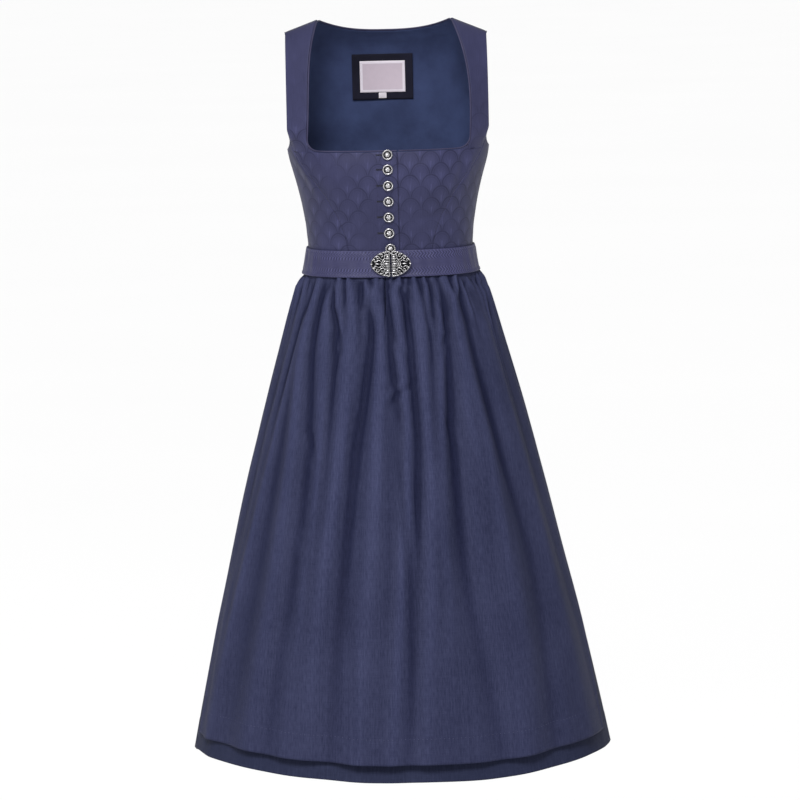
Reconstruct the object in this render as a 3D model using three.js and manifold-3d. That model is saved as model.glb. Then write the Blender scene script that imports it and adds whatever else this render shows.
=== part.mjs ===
// A dirndl: a buttoned bodice with a gathered midi skirt, and a gathered apron
// whose waistband closes at the front with an oval openwork clasp.
// Millimetres, +Z up, the front faces -Y and +X is the wearer's left.
// The dress keeps the hollow form that it has on a wearer. The origin lies
// between the two shoulders, where the straps rest.

import * as THREE from 'three';
import { mergeVertices } from 'three/addons/utils/BufferGeometryUtils.js';
import Module from 'manifold-3d';

const wasm = await Module();
wasm.setup();

// Heights of the dress, measured from the origin
const NECK_Z = 35;
const BACK_NECK_Z = 16;
const BUST_Z = -158;
const BAND_TOP_Z = -307;
const BAND_BOTTOM_Z = -346.5;
const BODICE_BOTTOM_Z = -341.4;
const SKIRT_TOP_Z = -342;
const APRON_TOP_Z = -341.5;
const APRON_HEM_Z = -1056;
const HEM_Z = -1084;

// Straps and neckline
const SHOULDER_HALF = 152;
const NECK_HALF = 101;
const SHOULDER_SLOPE = 0.41;
const SHOULDER_Y = 6;
const SEAM_HALF_GAP = 0.42;
const SHOULDER_SEAM_GAP = 0.6;
const NECK_EDGE = 0.81;
const ARM_EDGE = 0.915;
const BOXINESS = 0.09;
const ARM_FRONT_ANGLE = 66;
const ARM_BACK_ANGLE = 64;
const ARM_CURVE = 0.24;
const CORNER_ANGLE = 39.9;
const STRAP_ANGLE = 51.5;
const CORNER_RISE = 0.1;
const CHEST_POWER = 2.4;
const BACK_POWER = 5;
const NECK_SHIFT = 3.5;

// Front closing
const LAP_X = 13;
const UNDERLAP_X = -6;
const LAP_RAISE = 1.3;
const LAP_STEP = 2.6;
const BUTTON_X = -1.5;
const BUTTON_HEIGHTS = [-162.3, -184, -208, -232, -256, -280.5];
const LAST_BUTTON_Z = -304.5;
const LAST_BUTTON_Y = -99.9;

// Walls
const BODICE_WALL = 2;
const LINING_WALL = 0.9;
const SKIRT_WALL = 1.2;
const APRON_WALL = 1.2;
const BAND_WALL = 2.4;
const BAND_RISE_TOP = 3.4;
const BAND_RISE_BOTTOM = 6.2;
const PATCH_WALL = 0.8;
const LABEL_WALL = 0.6;
const PIPING_RADIUS = 1.2;
const PIPING_STEPS = 54;
const PIPING_REACH = 2.05;

// Apron: its side edges run from the waist's angle to the hem's angle
const APRON_WAIST_ANGLE = 105;
const APRON_HEM_ANGLE = 79.5;
const APRON_GATHERS = 28;
const SLIT_PLACE = -0.034;
const SLIT_HALF = 0.0024;
const SLIT_END_Z = -425;

// Skirt: the side seams part its front from its back
const SIDE_SEAM_ANGLE = 88;
const HIDDEN_SINK = 4;
const SKIRT_BACK_GATHERS = 22;

// Clasp and buttons
const CLASP_Z = -326.3;
const CLASP_HALF_WIDTH = 30.6;
const CLASP_HALF_HEIGHT = 20;
const CLASP_Y = -104.8;
const CLASP_TILT = -0.075;
const CLASP_PLATE = 1.8;
const BUTTON_RADIUS = 7.75;
const BUTTON_SHANK = 0.9;
const BUTTON_SIDES = 10;

const DEGREE = Math.PI / 180;

// Body rings under the bodice: half-width, depth in front and depth behind
const BODICE_RINGS = [
  { z: -158, half: 153, front: 116, back: 104 },
  { z: -175, half: 150, front: 118, back: 103 },
  { z: -205, half: 141.5, front: 117, back: 98 },
  { z: -235, half: 134.3, front: 110, back: 92 },
  { z: -265, half: 129, front: 102, back: 86 },
  { z: -290, half: 126, front: 97.5, back: 83.5 },
  { z: -307, half: 125, front: 95.8, back: 83.3 },
  { z: -342, half: 128.2, front: 97.5, back: 91.5 },
];

// Rings of the dress's skirt
const SKIRT_RINGS = [
  { z: -342, half: 128.8, front: 98, back: 92 },
  { z: -376, half: 140, front: 109, back: 105 },
  { z: -430, half: 157, front: 125, back: 124 },
  { z: -545, half: 191, front: 156, back: 158 },
  { z: -660, half: 220, front: 183, back: 187 },
  { z: -777, half: 248, front: 208, back: 213 },
  { z: -893, half: 277, front: 231, back: 237 },
  { z: -1010, half: 302.5, front: 252, back: 258 },
  { z: -1084, half: 317.5, front: 265, back: 270 },
];

// How far the apron stands off the skirt in front and at its sides
const APRON_STAND_OFF = [
  { z: -341, front: 1.8, side: 1.8 },
  { z: -348, front: 2.5, side: 2.5 },
  { z: -360, front: 5, side: 4.5 },
  { z: -400, front: 8.5, side: 5.4 },
  { z: -500, front: 11, side: 5.6 },
  { z: -800, front: 12, side: 5.2 },
  { z: -1056, front: 13.5, side: 4.6 },
];

// How deep the gathers are below the band
const GATHER_DEPTHS = [
  { z: -346, depth: 0 },
  { z: -348, depth: 0.5 },
  { z: -356, depth: 2.6 },
  { z: -376, depth: 2.8 },
  { z: -400, depth: 1.8 },
  { z: -425, depth: 0.8 },
  { z: -460, depth: 0.2 },
  { z: -520, depth: 0 },
];

// Folds of the apron. Place is an angle round the dress in degrees, and rise is
// in mm outward, both at the five levels. Half-width is in mm at waist and hem.
const FOLD_LEVELS = [-346, -440, -600, -800, -1056];
const APRON_FOLDS = [
  { place: [-74, -74, -76, -79, -82], rise: [0, -3, -4, -2, 0], halfWidth: [12, 22] },
  { place: [-58, -59, -61.5, -64.5, -68], rise: [0, 3, 4, 4.5, 3.5], halfWidth: [7, 18] },
  { place: [-56, -56, -55, -56, -58], rise: [0, 0, -3, -5, -4], halfWidth: [12, 28] },
  { place: [-57, -61, -63, -64, -64], rise: [-2, -5, -3, 0, 0], halfWidth: [8, 14] },
  { place: [-51, -52, -47, -46, -47], rise: [0, 4, 5, 5, 4], halfWidth: [10, 30] },
  { place: [-46, -45.5, -38, -37, -40], rise: [-2, -5, -5, -4, -3], halfWidth: [8, 26] },
  { place: [-38, -31, -28, -28, -28], rise: [-2, -5, -2, 0, 0], halfWidth: [7, 12] },
  { place: [-30, -30, -30, -32, -34], rise: [0, 0, 3, 3, 2], halfWidth: [10, 22] },
  { place: [-20, -20.5, -21.5, -26, -29], rise: [0, 4, 5, 4, 3], halfWidth: [10, 24] },
  { place: [-8, -10.5, -16, -18.5, -20], rise: [-1, -7, -9, -8, -5], halfWidth: [9, 26] },
  { place: [-7, -6.5, -7, -9, -11], rise: [1, 4, 6, 5, 4], halfWidth: [9, 24] },
  { place: [-3.5, -1.5, 4.5, 4, 2], rise: [-1, -4, -3, -2, -1], halfWidth: [7, 15] },
  { place: [2, 3.5, 5.5, 1.4, -3], rise: [1, 3, 4.5, 4.5, 3], halfWidth: [8, 19] },
  { place: [8.6, 8.6, 9.2, 5.2, 2.6], rise: [-2, -5, -7, -6, -3], halfWidth: [7, 13] },
  { place: [12.6, 14, 12.8, 10.7, 6.5], rise: [2, 5, 7, 6.5, 4], halfWidth: [8, 20] },
  { place: [29, 25.5, 19, 15.5, 13], rise: [1, 4, 4, 3, 2], halfWidth: [8, 20] },
  { place: [32, 27.5, 24.8, 23.5, 28], rise: [-1, -5, -8, -7, -5], halfWidth: [9, 26] },
  { place: [36, 37, 38.8, 40, 35.5], rise: [0, 4, 6, 6, 4], halfWidth: [12, 32] },
  { place: [44, 43, 48, 52.5, 46], rise: [-1, -4, -6, -6, -4], halfWidth: [9, 26] },
  { place: [58, 58, 60, 63, 62], rise: [0, 3, 4, 4, 3], halfWidth: [12, 30] },
  { place: [70, 70, 72, 75, 78], rise: [0, -3, -4, -3, -2], halfWidth: [12, 26] },
];

// Folds of the skirt behind the apron: place at waist and hem, rise half-way
// down and at the hem, and half-width at waist and hem
const BACK_FOLDS = [
  { place: [97, 96], rise: [5, 6], halfWidth: [12, 30] },
  { place: [108, 106], rise: [-6, -7], halfWidth: [10, 26] },
  { place: [119, 118], rise: [6, 9], halfWidth: [12, 30] },
  { place: [130, 131], rise: [-7, -8], halfWidth: [11, 28] },
  { place: [143, 142], rise: [7, 8], halfWidth: [13, 30] },
  { place: [153, 154], rise: [-5, -9], halfWidth: [9, 26] },
  { place: [164, 166], rise: [7, 10], halfWidth: [12, 32] },
  { place: [176, 178], rise: [-8, -9], halfWidth: [11, 28] },
  { place: [187, 190], rise: [6, 9], halfWidth: [10, 28] },
  { place: [199, 201], rise: [-6, -8], halfWidth: [12, 30] },
  { place: [212, 213], rise: [8, 9], halfWidth: [13, 32] },
  { place: [224, 226], rise: [-6, -8], halfWidth: [10, 26] },
  { place: [236, 237], rise: [6, 7], halfWidth: [12, 30] },
  { place: [248, 250], rise: [-6, -7], halfWidth: [11, 28] },
  { place: [262, 263], rise: [5, 5], halfWidth: [12, 28] },
];

// The princess seam: its angle round the body at each height
const PRINCESS_SEAM = [
  { z: -142.5, angle: 71.3 },
  { z: -158, angle: 65.5 },
  { z: -178, angle: 57.5 },
  { z: -198, angle: 50.3 },
  { z: -218, angle: 44 },
  { z: -240, angle: 38.2 },
  { z: -262, angle: 33.5 },
  { z: -285, angle: 30.2 },
  { z: -307, angle: 28.3 },
  { z: -342, angle: 27.5 },
];

function blend(from, to, share) {
  return from + (to - from) * share;
}

function ease(value) {
  const t = Math.min(1, Math.max(0, value));
  return t * t * (3 - 2 * t);
}

// A smooth curve through a table's values, whose levels run downward
function along(levels, values, level) {
  const last = levels.length - 1;
  if (level >= levels[0]) return values[0];
  if (level <= levels[last]) return values[last];
  let i = 0;
  while (level < levels[i + 1]) i += 1;
  const span = levels[i + 1] - levels[i];
  const slopeAt = (k) => {
    const a = Math.max(0, k - 1);
    const b = Math.min(last, k + 1);
    return (values[b] - values[a]) / (levels[b] - levels[a]);
  };
  const t = (level - levels[i]) / span;
  const start = (2 * t ** 3 - 3 * t ** 2 + 1) * values[i] + (t ** 3 - 2 * t ** 2 + t) * span * slopeAt(i);
  const end = (3 * t ** 2 - 2 * t ** 3) * values[i + 1] + (t ** 3 - t ** 2) * span * slopeAt(i + 1);
  return start + end;
}

function column(table, name, z) {
  return along(table.map((row) => row.z), table.map((row) => row[name]), z);
}

function ring(table, z, offset = 0) {
  return {
    half: column(table, 'half', z) + offset,
    front: column(table, 'front', z) + offset,
    back: column(table, 'back', z) + offset,
  };
}

// A repeatable uneven number from 0 to 1
function uneven(index, salt) {
  const wave = Math.sin(index * 12.9898 + salt * 78.233) * 43758.5453;
  return wave - Math.floor(wave);
}

// A point of a ring: 0 degrees is centre front, 90 is the wearer's left side
function ringPoint(size, angle, z, boxiness) {
  const s = Math.sin(angle * DEGREE);
  const c = Math.cos(angle * DEGREE);
  const depth = c > 0 ? size.front : size.back;
  const x = size.half * s * (1 + boxiness * c * c);
  const y = -depth * c * (1 + boxiness * s * s);
  return new THREE.Vector3(x, y, z);
}

// The body's surface under the bodice. A level up to 0 is a height below the
// bust line. A level above 0 is the share of the way from it to the shoulder.
function torso(angle, level) {
  const s = Math.sin(angle * DEGREE);
  const c = Math.cos(angle * DEGREE);
  if (level <= 0) {
    const z = BUST_Z + level;
    const point = ringPoint(ring(BODICE_RINGS, z), angle, z, BOXINESS);
    const acrossBust = (Math.abs(point.x) - 82) / 42;
    const downBust = (z + 203) / 36;
    const fullness = c > 0 ? 7 * Math.exp(-(acrossBust ** 2) - downBust ** 2) : 0;
    point.y -= fullness * c;
    return point;
  }
  const base = ringPoint(ring(BODICE_RINGS, BUST_Z), angle, BUST_Z, BOXINESS);
  const half = BODICE_RINGS[0].half;
  const reach = Math.abs(s) * (1 + BOXINESS * c * c);
  const neckX = blend(half * NECK_EDGE, NECK_HALF, level ** 3.5);
  const armX = blend(half * ARM_EDGE, SHOULDER_HALF, ease(level / 0.2));
  const acrossStrap = (reach - NECK_EDGE) / (ARM_EDGE - NECK_EDGE);
  let x = neckX * reach / NECK_EDGE;
  if (acrossStrap > 0) x = blend(neckX, armX, Math.min(1, acrossStrap));
  if (acrossStrap > 1) x += (reach - ARM_EDGE) * half * (1 - ease(level / 0.2));
  const topX = blend(NECK_HALF, SHOULDER_HALF, Math.min(1, Math.max(0, acrossStrap)));
  const topZ = NECK_Z - SHOULDER_SLOPE * (topX - NECK_HALF);
  const power = c > 0 ? CHEST_POWER : BACK_POWER;
  const depth = Math.sqrt(Math.max(0, 1 - level ** power));
  const y = blend(SHOULDER_Y, base.y, depth);
  return new THREE.Vector3(x * Math.sign(s), y, blend(BUST_Z, topZ, level));
}

// The armhole's edge: its angle at each level above the bust line
function armAngle(level, edgeAngle) {
  const left = 1 - Math.min(1, level / ARM_CURVE);
  return edgeAngle + (90 - edgeAngle) * (1 - Math.sqrt(1 - left * left));
}

function armLevel(angle, edgeAngle) {
  const share = 1 - (angle - edgeAngle) / (90 - edgeAngle);
  return ARM_CURVE * (1 - Math.sqrt(1 - share * share));
}

// Joins two rows of a sheet's points with triangles that face outward.
// A slit leaves out the triangles between its two edges.
function joinRows(lower, upper, slit, faces) {
  const isEdge = (point, edge) => slit && Math.abs(point.place - edge) < 1e-6;
  let i = 0;
  let j = 0;
  while (i < lower.length - 1 || j < upper.length - 1) {
    const lowerNext = i < lower.length - 1 ? lower[i + 1].place : Infinity;
    const upperNext = j < upper.length - 1 ? upper[j + 1].place : Infinity;
    const corners = [lower[i], upper[j]];
    if (lowerNext <= upperNext) {
      corners.splice(1, 0, lower[i + 1]);
      i += 1;
    } else {
      corners.splice(1, 0, upper[j + 1]);
      j += 1;
    }
    const atLeft = corners.some((corner) => isEdge(corner, slit?.left));
    const atRight = corners.some((corner) => isEdge(corner, slit?.right));
    if (!(atLeft && atRight)) faces.push(corners.map((corner) => corner.index));
  }
}

// Gives every point of the rows its index and lists the points
function collect(rows) {
  const points = [];
  for (const row of rows) {
    for (const item of row) {
      item.index = points.length;
      points.push(item.point);
    }
  }
  return points;
}

// A closed cloth solid: the faces on the outer points, the same faces on the
// points moved in by the wall, and a rim along every open edge
function thicken(points, faces, wall, lift = 0) {
  const normals = points.map(() => new THREE.Vector3());
  for (const [a, b, c] of faces) {
    const toB = points[b].clone().sub(points[a]);
    const toC = points[c].clone().sub(points[a]);
    const normal = toB.cross(toC);
    for (const corner of [a, b, c]) normals[corner].add(normal);
  }
  normals.forEach((normal) => normal.normalize());

  const count = points.length;
  const outer = points.map((point, i) => point.clone().addScaledVector(normals[i], lift));
  const inner = points.map((point, i) => point.clone().addScaledVector(normals[i], lift - wall));
  const triangles = [];
  const edges = new Set();
  for (const [a, b, c] of faces) {
    triangles.push(a, b, c, a + count, c + count, b + count);
    for (const [from, to] of [[a, b], [b, c], [c, a]]) edges.add(`${from},${to}`);
  }
  for (const edge of edges) {
    const [from, to] = edge.split(',').map(Number);
    if (!edges.has(`${to},${from}`)) {
      triangles.push(from, from + count, to + count, from, to + count, to);
    }
  }
  const geometry = new THREE.BufferGeometry();
  geometry.setFromPoints([...outer, ...inner]);
  geometry.setIndex(triangles);
  return mergeVertices(geometry, 1e-4);
}

// A cloth solid from rows of outer points, bottom row first. Each row lists
// { place, point }, and its places rise toward the wearer's left in front.
function sheet(rows, wall, { lift = 0, slit = null } = {}) {
  const points = collect(rows);
  const faces = [];
  for (let r = 0; r < rows.length - 1; r += 1) joinRows(rows[r], rows[r + 1], slit, faces);
  return thicken(points, faces, wall, lift);
}

function range(count, make) {
  return Array.from({ length: count }, (_, i) => make(i));
}

// Materials
function cloth(color, roughness) {
  return new THREE.MeshStandardMaterial({ color, roughness, metalness: 0 });
}
const jacquard = cloth(0x484a6a, 0.62);
const liningCloth = cloth(0x2e395a, 0.7);
const skirtCloth = cloth(0x3a3d5e, 0.68);
const apronCloth = cloth(0x3f4264, 0.58);
const bandCloth = cloth(0x46446c, 0.55);
const pipingCloth = cloth(0x5d5468, 0.6);
const patchCloth = cloth(0x181829, 0.9);
const labelCloth = cloth(0xc8b6c2, 0.6);
const silver = new THREE.MeshStandardMaterial({ color: 0xa9a8a4, roughness: 0.35, metalness: 1 });

const dirndl = new THREE.Group();

function addPiece(name, geometry, material) {
  const mesh = new THREE.Mesh(geometry, material);
  mesh.name = name;
  dirndl.add(mesh);
  return mesh;
}

// Bodice fronts. Side -1 is the wearer's right front, which laps over the other.
const BODICE_HEIGHTS = [BODICE_BOTTOM_Z, -324, -307, -285, -262, -240, -218, -198, -178, -158];
const STRAP_LEVELS = [0.013, 0.034, 0.064, 0.1, 0.16, 0.24, 0.36, 0.5, 0.64, 0.76, 0.86, 0.93, 0.975, 1];
const FRONT_COLUMNS = 10;
const CORNER_COLUMN = 6;
const PRINCESS_GAP_ANGLE = 0.24;
const SEAM_TOP_LEVEL = 0.09;

function frontPoint(side, angle, level) {
  const point = torso(side * angle, level);
  const inBand = ease((-288 - point.z) / 16);
  const raise = LAP_RAISE * (1 - inBand);
  const sink = LAP_STEP - raise;
  if (level <= 0 && side < 0) point.y -= raise * ease((point.x + 38) / 30);
  if (level <= 0 && side > 0) point.y += sink * ease((44 - point.x) / 30);
  point.y -= SEAM_HALF_GAP + SHOULDER_SEAM_GAP * ease((level - 0.9) / 0.1);
  return point;
}

function seamAngle(z) {
  return column(PRINCESS_SEAM, 'angle', z);
}

function frontEdgeAngle(side, z) {
  const half = column(BODICE_RINGS, 'half', z) * (1 + BOXINESS);
  return Math.asin((side < 0 ? -LAP_X : UNDERLAP_X) / half) / DEGREE;
}

// The body of the front: from its closing edge to the princess seam
function frontBodyRow(side, z) {
  const closing = frontEdgeAngle(side, z);
  const seam = seamAngle(z) - PRINCESS_GAP_ANGLE;
  const corner = z === BUST_Z ? CORNER_ANGLE : blend(closing, seam, CORNER_COLUMN / FRONT_COLUMNS);
  return range(FRONT_COLUMNS + 1, (i) => {
    const inBody = i <= CORNER_COLUMN;
    const angle = inBody
      ? blend(closing, corner, i / CORNER_COLUMN)
      : blend(corner, seam, (i - CORNER_COLUMN) / (FRONT_COLUMNS - CORNER_COLUMN));
    return { place: i, point: frontPoint(side, angle, z - BUST_Z) };
  });
}

// The strap's angles at a level: the neckline's edge, with its round corner,
// and the outer edge, which is the princess seam and then the armhole
function strapAngles(level) {
  const left = 1 - Math.min(1, level / CORNER_RISE);
  const inner = blend(CORNER_ANGLE, STRAP_ANGLE, Math.sqrt(1 - left * left));
  const onSeam = level < SEAM_TOP_LEVEL;
  const outer = onSeam ? seamAngle(blend(BUST_Z, 14, level)) : armAngle(level, ARM_FRONT_ANGLE);
  return { inner, outer: outer - PRINCESS_GAP_ANGLE };
}

// The neckline lies a little further out on the wearer's left than on the right
function strapPoint(side, level, share) {
  const { inner, outer } = strapAngles(level);
  const point = frontPoint(side, blend(inner, outer, share), level);
  point.x += NECK_SHIFT * Math.sin(Math.PI * level) * (1 - share);
  return point;
}

function strapRow(side, level) {
  const count = FRONT_COLUMNS - CORNER_COLUMN;
  return range(count + 1, (i) => ({ place: CORNER_COLUMN + i, point: strapPoint(side, level, i / count) }));
}

// On the wearer's right the places run backward, so that they rise to the left
function mirrored(rows, side) {
  if (side > 0) return rows;
  return rows.map((row) => row.map((item) => ({ ...item, place: -item.place })).reverse());
}

function bodiceFront(side) {
  const body = BODICE_HEIGHTS.map((z) => frontBodyRow(side, z));
  const strap = STRAP_LEVELS.map((level) => strapRow(side, level));
  const rows = mirrored([...body, ...strap], side);
  const points = collect(rows);
  const faces = [];
  const top = body.length - 1;
  const aboveBust = rows[top].filter((item) => Math.abs(item.place) >= CORNER_COLUMN);
  for (let r = 0; r < top; r += 1) joinRows(rows[r], rows[r + 1], null, faces);
  joinRows(aboveBust, rows[top + 1], null, faces);
  for (let r = top + 1; r < rows.length - 1; r += 1) joinRows(rows[r], rows[r + 1], null, faces);
  return thicken(points, faces, BODICE_WALL);
}

addPiece('bodice_front_right', bodiceFront(-1), jacquard);
addPiece('bodice_front_left', bodiceFront(1), jacquard);

// Bodice sides: from the princess seam to the side seam, up to the armhole
const SIDE_COLUMNS = 4;
const SIDE_HEIGHTS = BODICE_HEIGHTS.slice(0, -1);

function bodiceSide(side) {
  const rows = [...SIDE_HEIGHTS, BUST_Z].map((z) => range(SIDE_COLUMNS + 1, (i) => {
    const share = i / SIDE_COLUMNS;
    const height = z === BUST_Z ? BUST_Z - 9 * share : z;
    const angle = blend(seamAngle(z) + PRINCESS_GAP_ANGLE, 90, share);
    return { place: i, point: frontPoint(side, angle, height - BUST_Z) };
  }));
  const seamTop = armAngle(SEAM_TOP_LEVEL, ARM_FRONT_ANGLE) + PRINCESS_GAP_ANGLE;
  rows.push(range(SIDE_COLUMNS + 1, (i) => {
    const angle = blend(seamTop, 90, i / SIDE_COLUMNS);
    return { place: i, point: frontPoint(side, angle, armLevel(angle, ARM_FRONT_ANGLE)) };
  }));
  return sheet(mirrored(rows, side), BODICE_WALL);
}

addPiece('bodice_side_right', bodiceSide(-1), jacquard);
addPiece('bodice_side_left', bodiceSide(1), jacquard);

// Bodice back: one piece up to the round back neckline and both shoulder seams
const BACK_SHARES = [0.03, 0.08, 0.15, 0.24, 0.42, 0.6, 0.76, 0.87, 0.95, 0.985, 1];
const BACK_STRAP_COLUMNS = 3;
const BACK_MIDDLE_COLUMNS = 8;

function reachAt(angle) {
  const s = Math.abs(Math.sin(angle * DEGREE));
  const c = Math.cos(angle * DEGREE);
  return s * (1 + BOXINESS * c * c);
}

function backTopLevel(angle) {
  const reach = Math.min(1, reachAt(angle) / NECK_EDGE);
  const z = blend(BACK_NECK_Z, NECK_Z, reach ** 2.6);
  return (z - BUST_Z) / (NECK_Z - BUST_Z);
}

function backPoint(angle, level) {
  const point = torso(angle, level);
  point.y += SEAM_HALF_GAP + SHOULDER_SEAM_GAP * ease((level - 0.9) / 0.1);
  return point;
}

// Angles across the back, with one column on each neck point
function backAngles(edge, strapColumns) {
  const strap = range(strapColumns, (i) => 180 - blend(edge, STRAP_ANGLE, i / strapColumns));
  const middle = range(BACK_MIDDLE_COLUMNS + 1, (i) => (
    180 + blend(-STRAP_ANGLE, STRAP_ANGLE, i / BACK_MIDDLE_COLUMNS)
  ));
  return [...strap, ...middle, ...strap.map((angle) => 360 - angle).reverse()];
}

// A row of the back at a height below the bust line, or at a share above it
function backRowBelow(z, edge, strapColumns) {
  return backAngles(edge, strapColumns).map((angle, i) => (
    { place: i, point: backPoint(angle, z - BUST_Z) }
  ));
}

function backRowAbove(share, inset, strapColumns) {
  return backAngles(armAngle(share, ARM_BACK_ANGLE) - inset, strapColumns).map((angle, i) => (
    { place: i, point: backPoint(angle, share * backTopLevel(angle)) }
  ));
}

const backRows = [
  ...BODICE_HEIGHTS.map((z) => backRowBelow(z, 90, BACK_STRAP_COLUMNS)),
  ...BACK_SHARES.map((share) => backRowAbove(share, 0, BACK_STRAP_COLUMNS)),
];
addPiece('bodice_back', sheet(backRows, BODICE_WALL), jacquard);

// Lining of the back, seen through the neckline
const LINING_HEIGHTS = [-336, -307, -285, -262, -240, -215, -186, -158];
const LINING_SHARES = [0.03, 0.08, 0.24, 0.42, 0.6, 0.76, 0.88, 0.96];
const LINING_GAP = 1.6;
const LINING_STRAP_COLUMNS = 2;
const LINING_INSET_ANGLE = 5;
const LINING_BUST_EDGE = 73;
const LINING_BODY_EDGE = 84;

const liningRows = [
  ...LINING_HEIGHTS.map((z) => {
    const edge = z === BUST_Z ? LINING_BUST_EDGE : LINING_BODY_EDGE;
    return backRowBelow(z, edge, LINING_STRAP_COLUMNS);
  }),
  ...LINING_SHARES.map((share) => backRowAbove(share, LINING_INSET_ANGLE, LINING_STRAP_COLUMNS)),
];
addPiece('lining_back', sheet(liningRows, LINING_WALL, { lift: -BODICE_WALL - LINING_GAP }), liningCloth);

// The label and its dark patch lie one over the other inside the back
function backAngle(x, level) {
  const wanted = Math.abs(x) / blend(BODICE_RINGS[0].half * NECK_EDGE, NECK_HALF, level ** 3.5) * NECK_EDGE;
  let low = 180 - 90;
  let high = 180;
  for (let step = 0; step < 30; step += 1) {
    const middle = (low + high) / 2;
    if (reachAt(middle) > wanted) low = middle;
    else high = middle;
  }
  return x > 0 ? high : 360 - high;
}

function insideBack(name, columns, heights, wall, depth, material) {
  const rows = heights.map((z) => columns.map((x, i) => {
    const level = (z - BUST_Z) / (NECK_Z - BUST_Z);
    return { place: i, point: backPoint(backAngle(x, level), level) };
  }));
  addPiece(name, sheet(rows, wall, { lift: -depth }), material);
}

const PATCH_DEPTH = BODICE_WALL + LINING_GAP + LINING_WALL + 1.45;
const LABEL_DEPTH = PATCH_DEPTH + PATCH_WALL + 0.5;
const PATCH_COLUMNS = [41, 29, 14, -1, -13, -28, -42, -54];
const PATCH_HEIGHTS = [-93, -80, -63, -46.5, -30, -21];
const LABEL_COLUMNS = PATCH_COLUMNS.slice(1, 7);
const LABEL_HEIGHTS = PATCH_HEIGHTS.slice(1, 5);
insideBack('label_patch', PATCH_COLUMNS, PATCH_HEIGHTS, PATCH_WALL, PATCH_DEPTH, patchCloth);
insideBack('label', LABEL_COLUMNS, LABEL_HEIGHTS, LABEL_WALL, LABEL_DEPTH, labelCloth);
insideBack('size_tab', [-1, -13], [-89, -80.5], LABEL_WALL, LABEL_DEPTH, labelCloth);

// Rolled piping along the neckline, from the underlap round to the lap. It runs
// beside the cloth's edge, half a wall in from the outer face.
const PIPING_BODY_X = [40, 70, 92];
const PIPING_LEVELS = [0.004, 0.02, 0.05, 0.1, 0.2, 0.36, 0.5, 0.64, 0.76, 0.86, 0.93, 0.985];
const PIPING_BACK_ANGLES = [131, 135, 141.4, 154.2, 167.1];

function bodyAngle(x) {
  let low = 0;
  let high = 60;
  for (let step = 0; step < 30; step += 1) {
    const middle = (low + high) / 2;
    if (torso(middle, 0).x > x) high = middle;
    else low = middle;
  }
  return low;
}

// A point of the neckline's edge with the cloth's outward normal, worked out
// from two nearby points of the cloth
function edgeStation(point, beside, beyond, reach = PIPING_REACH) {
  const normal = beside.sub(point).cross(beyond.sub(point)).normalize();
  const outside = new THREE.Vector3(point.x, point.y - SHOULDER_Y, Math.max(0, point.z - BUST_Z - 60));
  if (normal.dot(outside) < 0) normal.negate();
  return { point, normal, reach };
}

function frontStation(side, level, share) {
  const beside = strapPoint(side, level, share + 0.05);
  const beyond = strapPoint(side, level + 0.004, share);
  return edgeStation(strapPoint(side, level, share), beside, beyond);
}

function bodyStation(side, x) {
  const angle = bodyAngle(Math.abs(x)) * Math.sign(x) * side;
  const beside = frontPoint(side, angle + 1, 0);
  return edgeStation(frontPoint(side, angle, 0), beside, frontPoint(side, angle, -3));
}

function backStation(angle) {
  const level = backTopLevel(angle);
  const beside = backPoint(angle + 1, level);
  const beyond = backPoint(angle, level - 0.01);
  const reach = PIPING_REACH + 0.85 + 1.1 * ease((150 - Math.min(angle, 360 - angle)) / 10);
  return edgeStation(backPoint(angle, level), beside, beyond, reach);
}

function pipingPath() {
  const pastMiddle = PIPING_BACK_ANGLES.map((angle) => 360 - angle).reverse();
  const stations = [
    ...[LAP_X + 2.5, ...PIPING_BODY_X].map((x) => bodyStation(1, x)),
    ...PIPING_LEVELS.map((level) => frontStation(1, level, 0)),
    ...[...PIPING_BACK_ANGLES, 180, ...pastMiddle].map(backStation),
    ...PIPING_LEVELS.map((level) => frontStation(-1, level, 0)).reverse(),
    ...[LAP_X - 0.5, ...PIPING_BODY_X.map((x) => -x)].map((x) => bodyStation(-1, x)).reverse(),
  ];
  return stations.map(({ point, normal, reach }, i) => {
    const before = stations[Math.max(0, i - 1)].point;
    const after = stations[Math.min(stations.length - 1, i + 1)].point;
    const beside = normal.clone().cross(after.clone().sub(before)).normalize();
    return point.clone().addScaledVector(normal, -BODICE_WALL / 2).addScaledVector(beside, reach);
  });
}

// A closed body from any of the geometry classes: shared vertices are merged,
// empty triangles dropped, and the faces turned outward
function solid(geometry) {
  const bare = new THREE.BufferGeometry();
  bare.setAttribute('position', geometry.getAttribute('position'));
  if (geometry.index) bare.setIndex(geometry.index);
  const merged = mergeVertices(bare, 1e-4);
  const position = merged.getAttribute('position');
  const corners = Array.from(merged.index.array);
  const kept = [];
  let volume = 0;
  for (let i = 0; i < corners.length; i += 3) {
    const [a, b, c] = corners.slice(i, i + 3);
    if (a === b || b === c || c === a) continue;
    kept.push(a, b, c);
    const [pa, pb, pc] = [a, b, c].map((k) => new THREE.Vector3().fromBufferAttribute(position, k));
    volume += pa.dot(pb.cross(pc));
  }
  if (volume < 0) kept.reverse();
  merged.setIndex(kept);
  return merged;
}

function toManifold(geometry) {
  const closed = solid(geometry);
  return new wasm.Manifold(new wasm.Mesh({
    numProp: 3,
    vertProperties: Float32Array.from(closed.getAttribute('position').array),
    triVerts: Uint32Array.from(closed.index.array),
  }));
}

function fromManifold(body) {
  const mesh = body.getMesh();
  const geometry = new THREE.BufferGeometry();
  geometry.setAttribute('position', new THREE.Float32BufferAttribute(mesh.vertProperties, 3));
  geometry.setIndex(Array.from(mesh.triVerts));
  return geometry;
}

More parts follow.
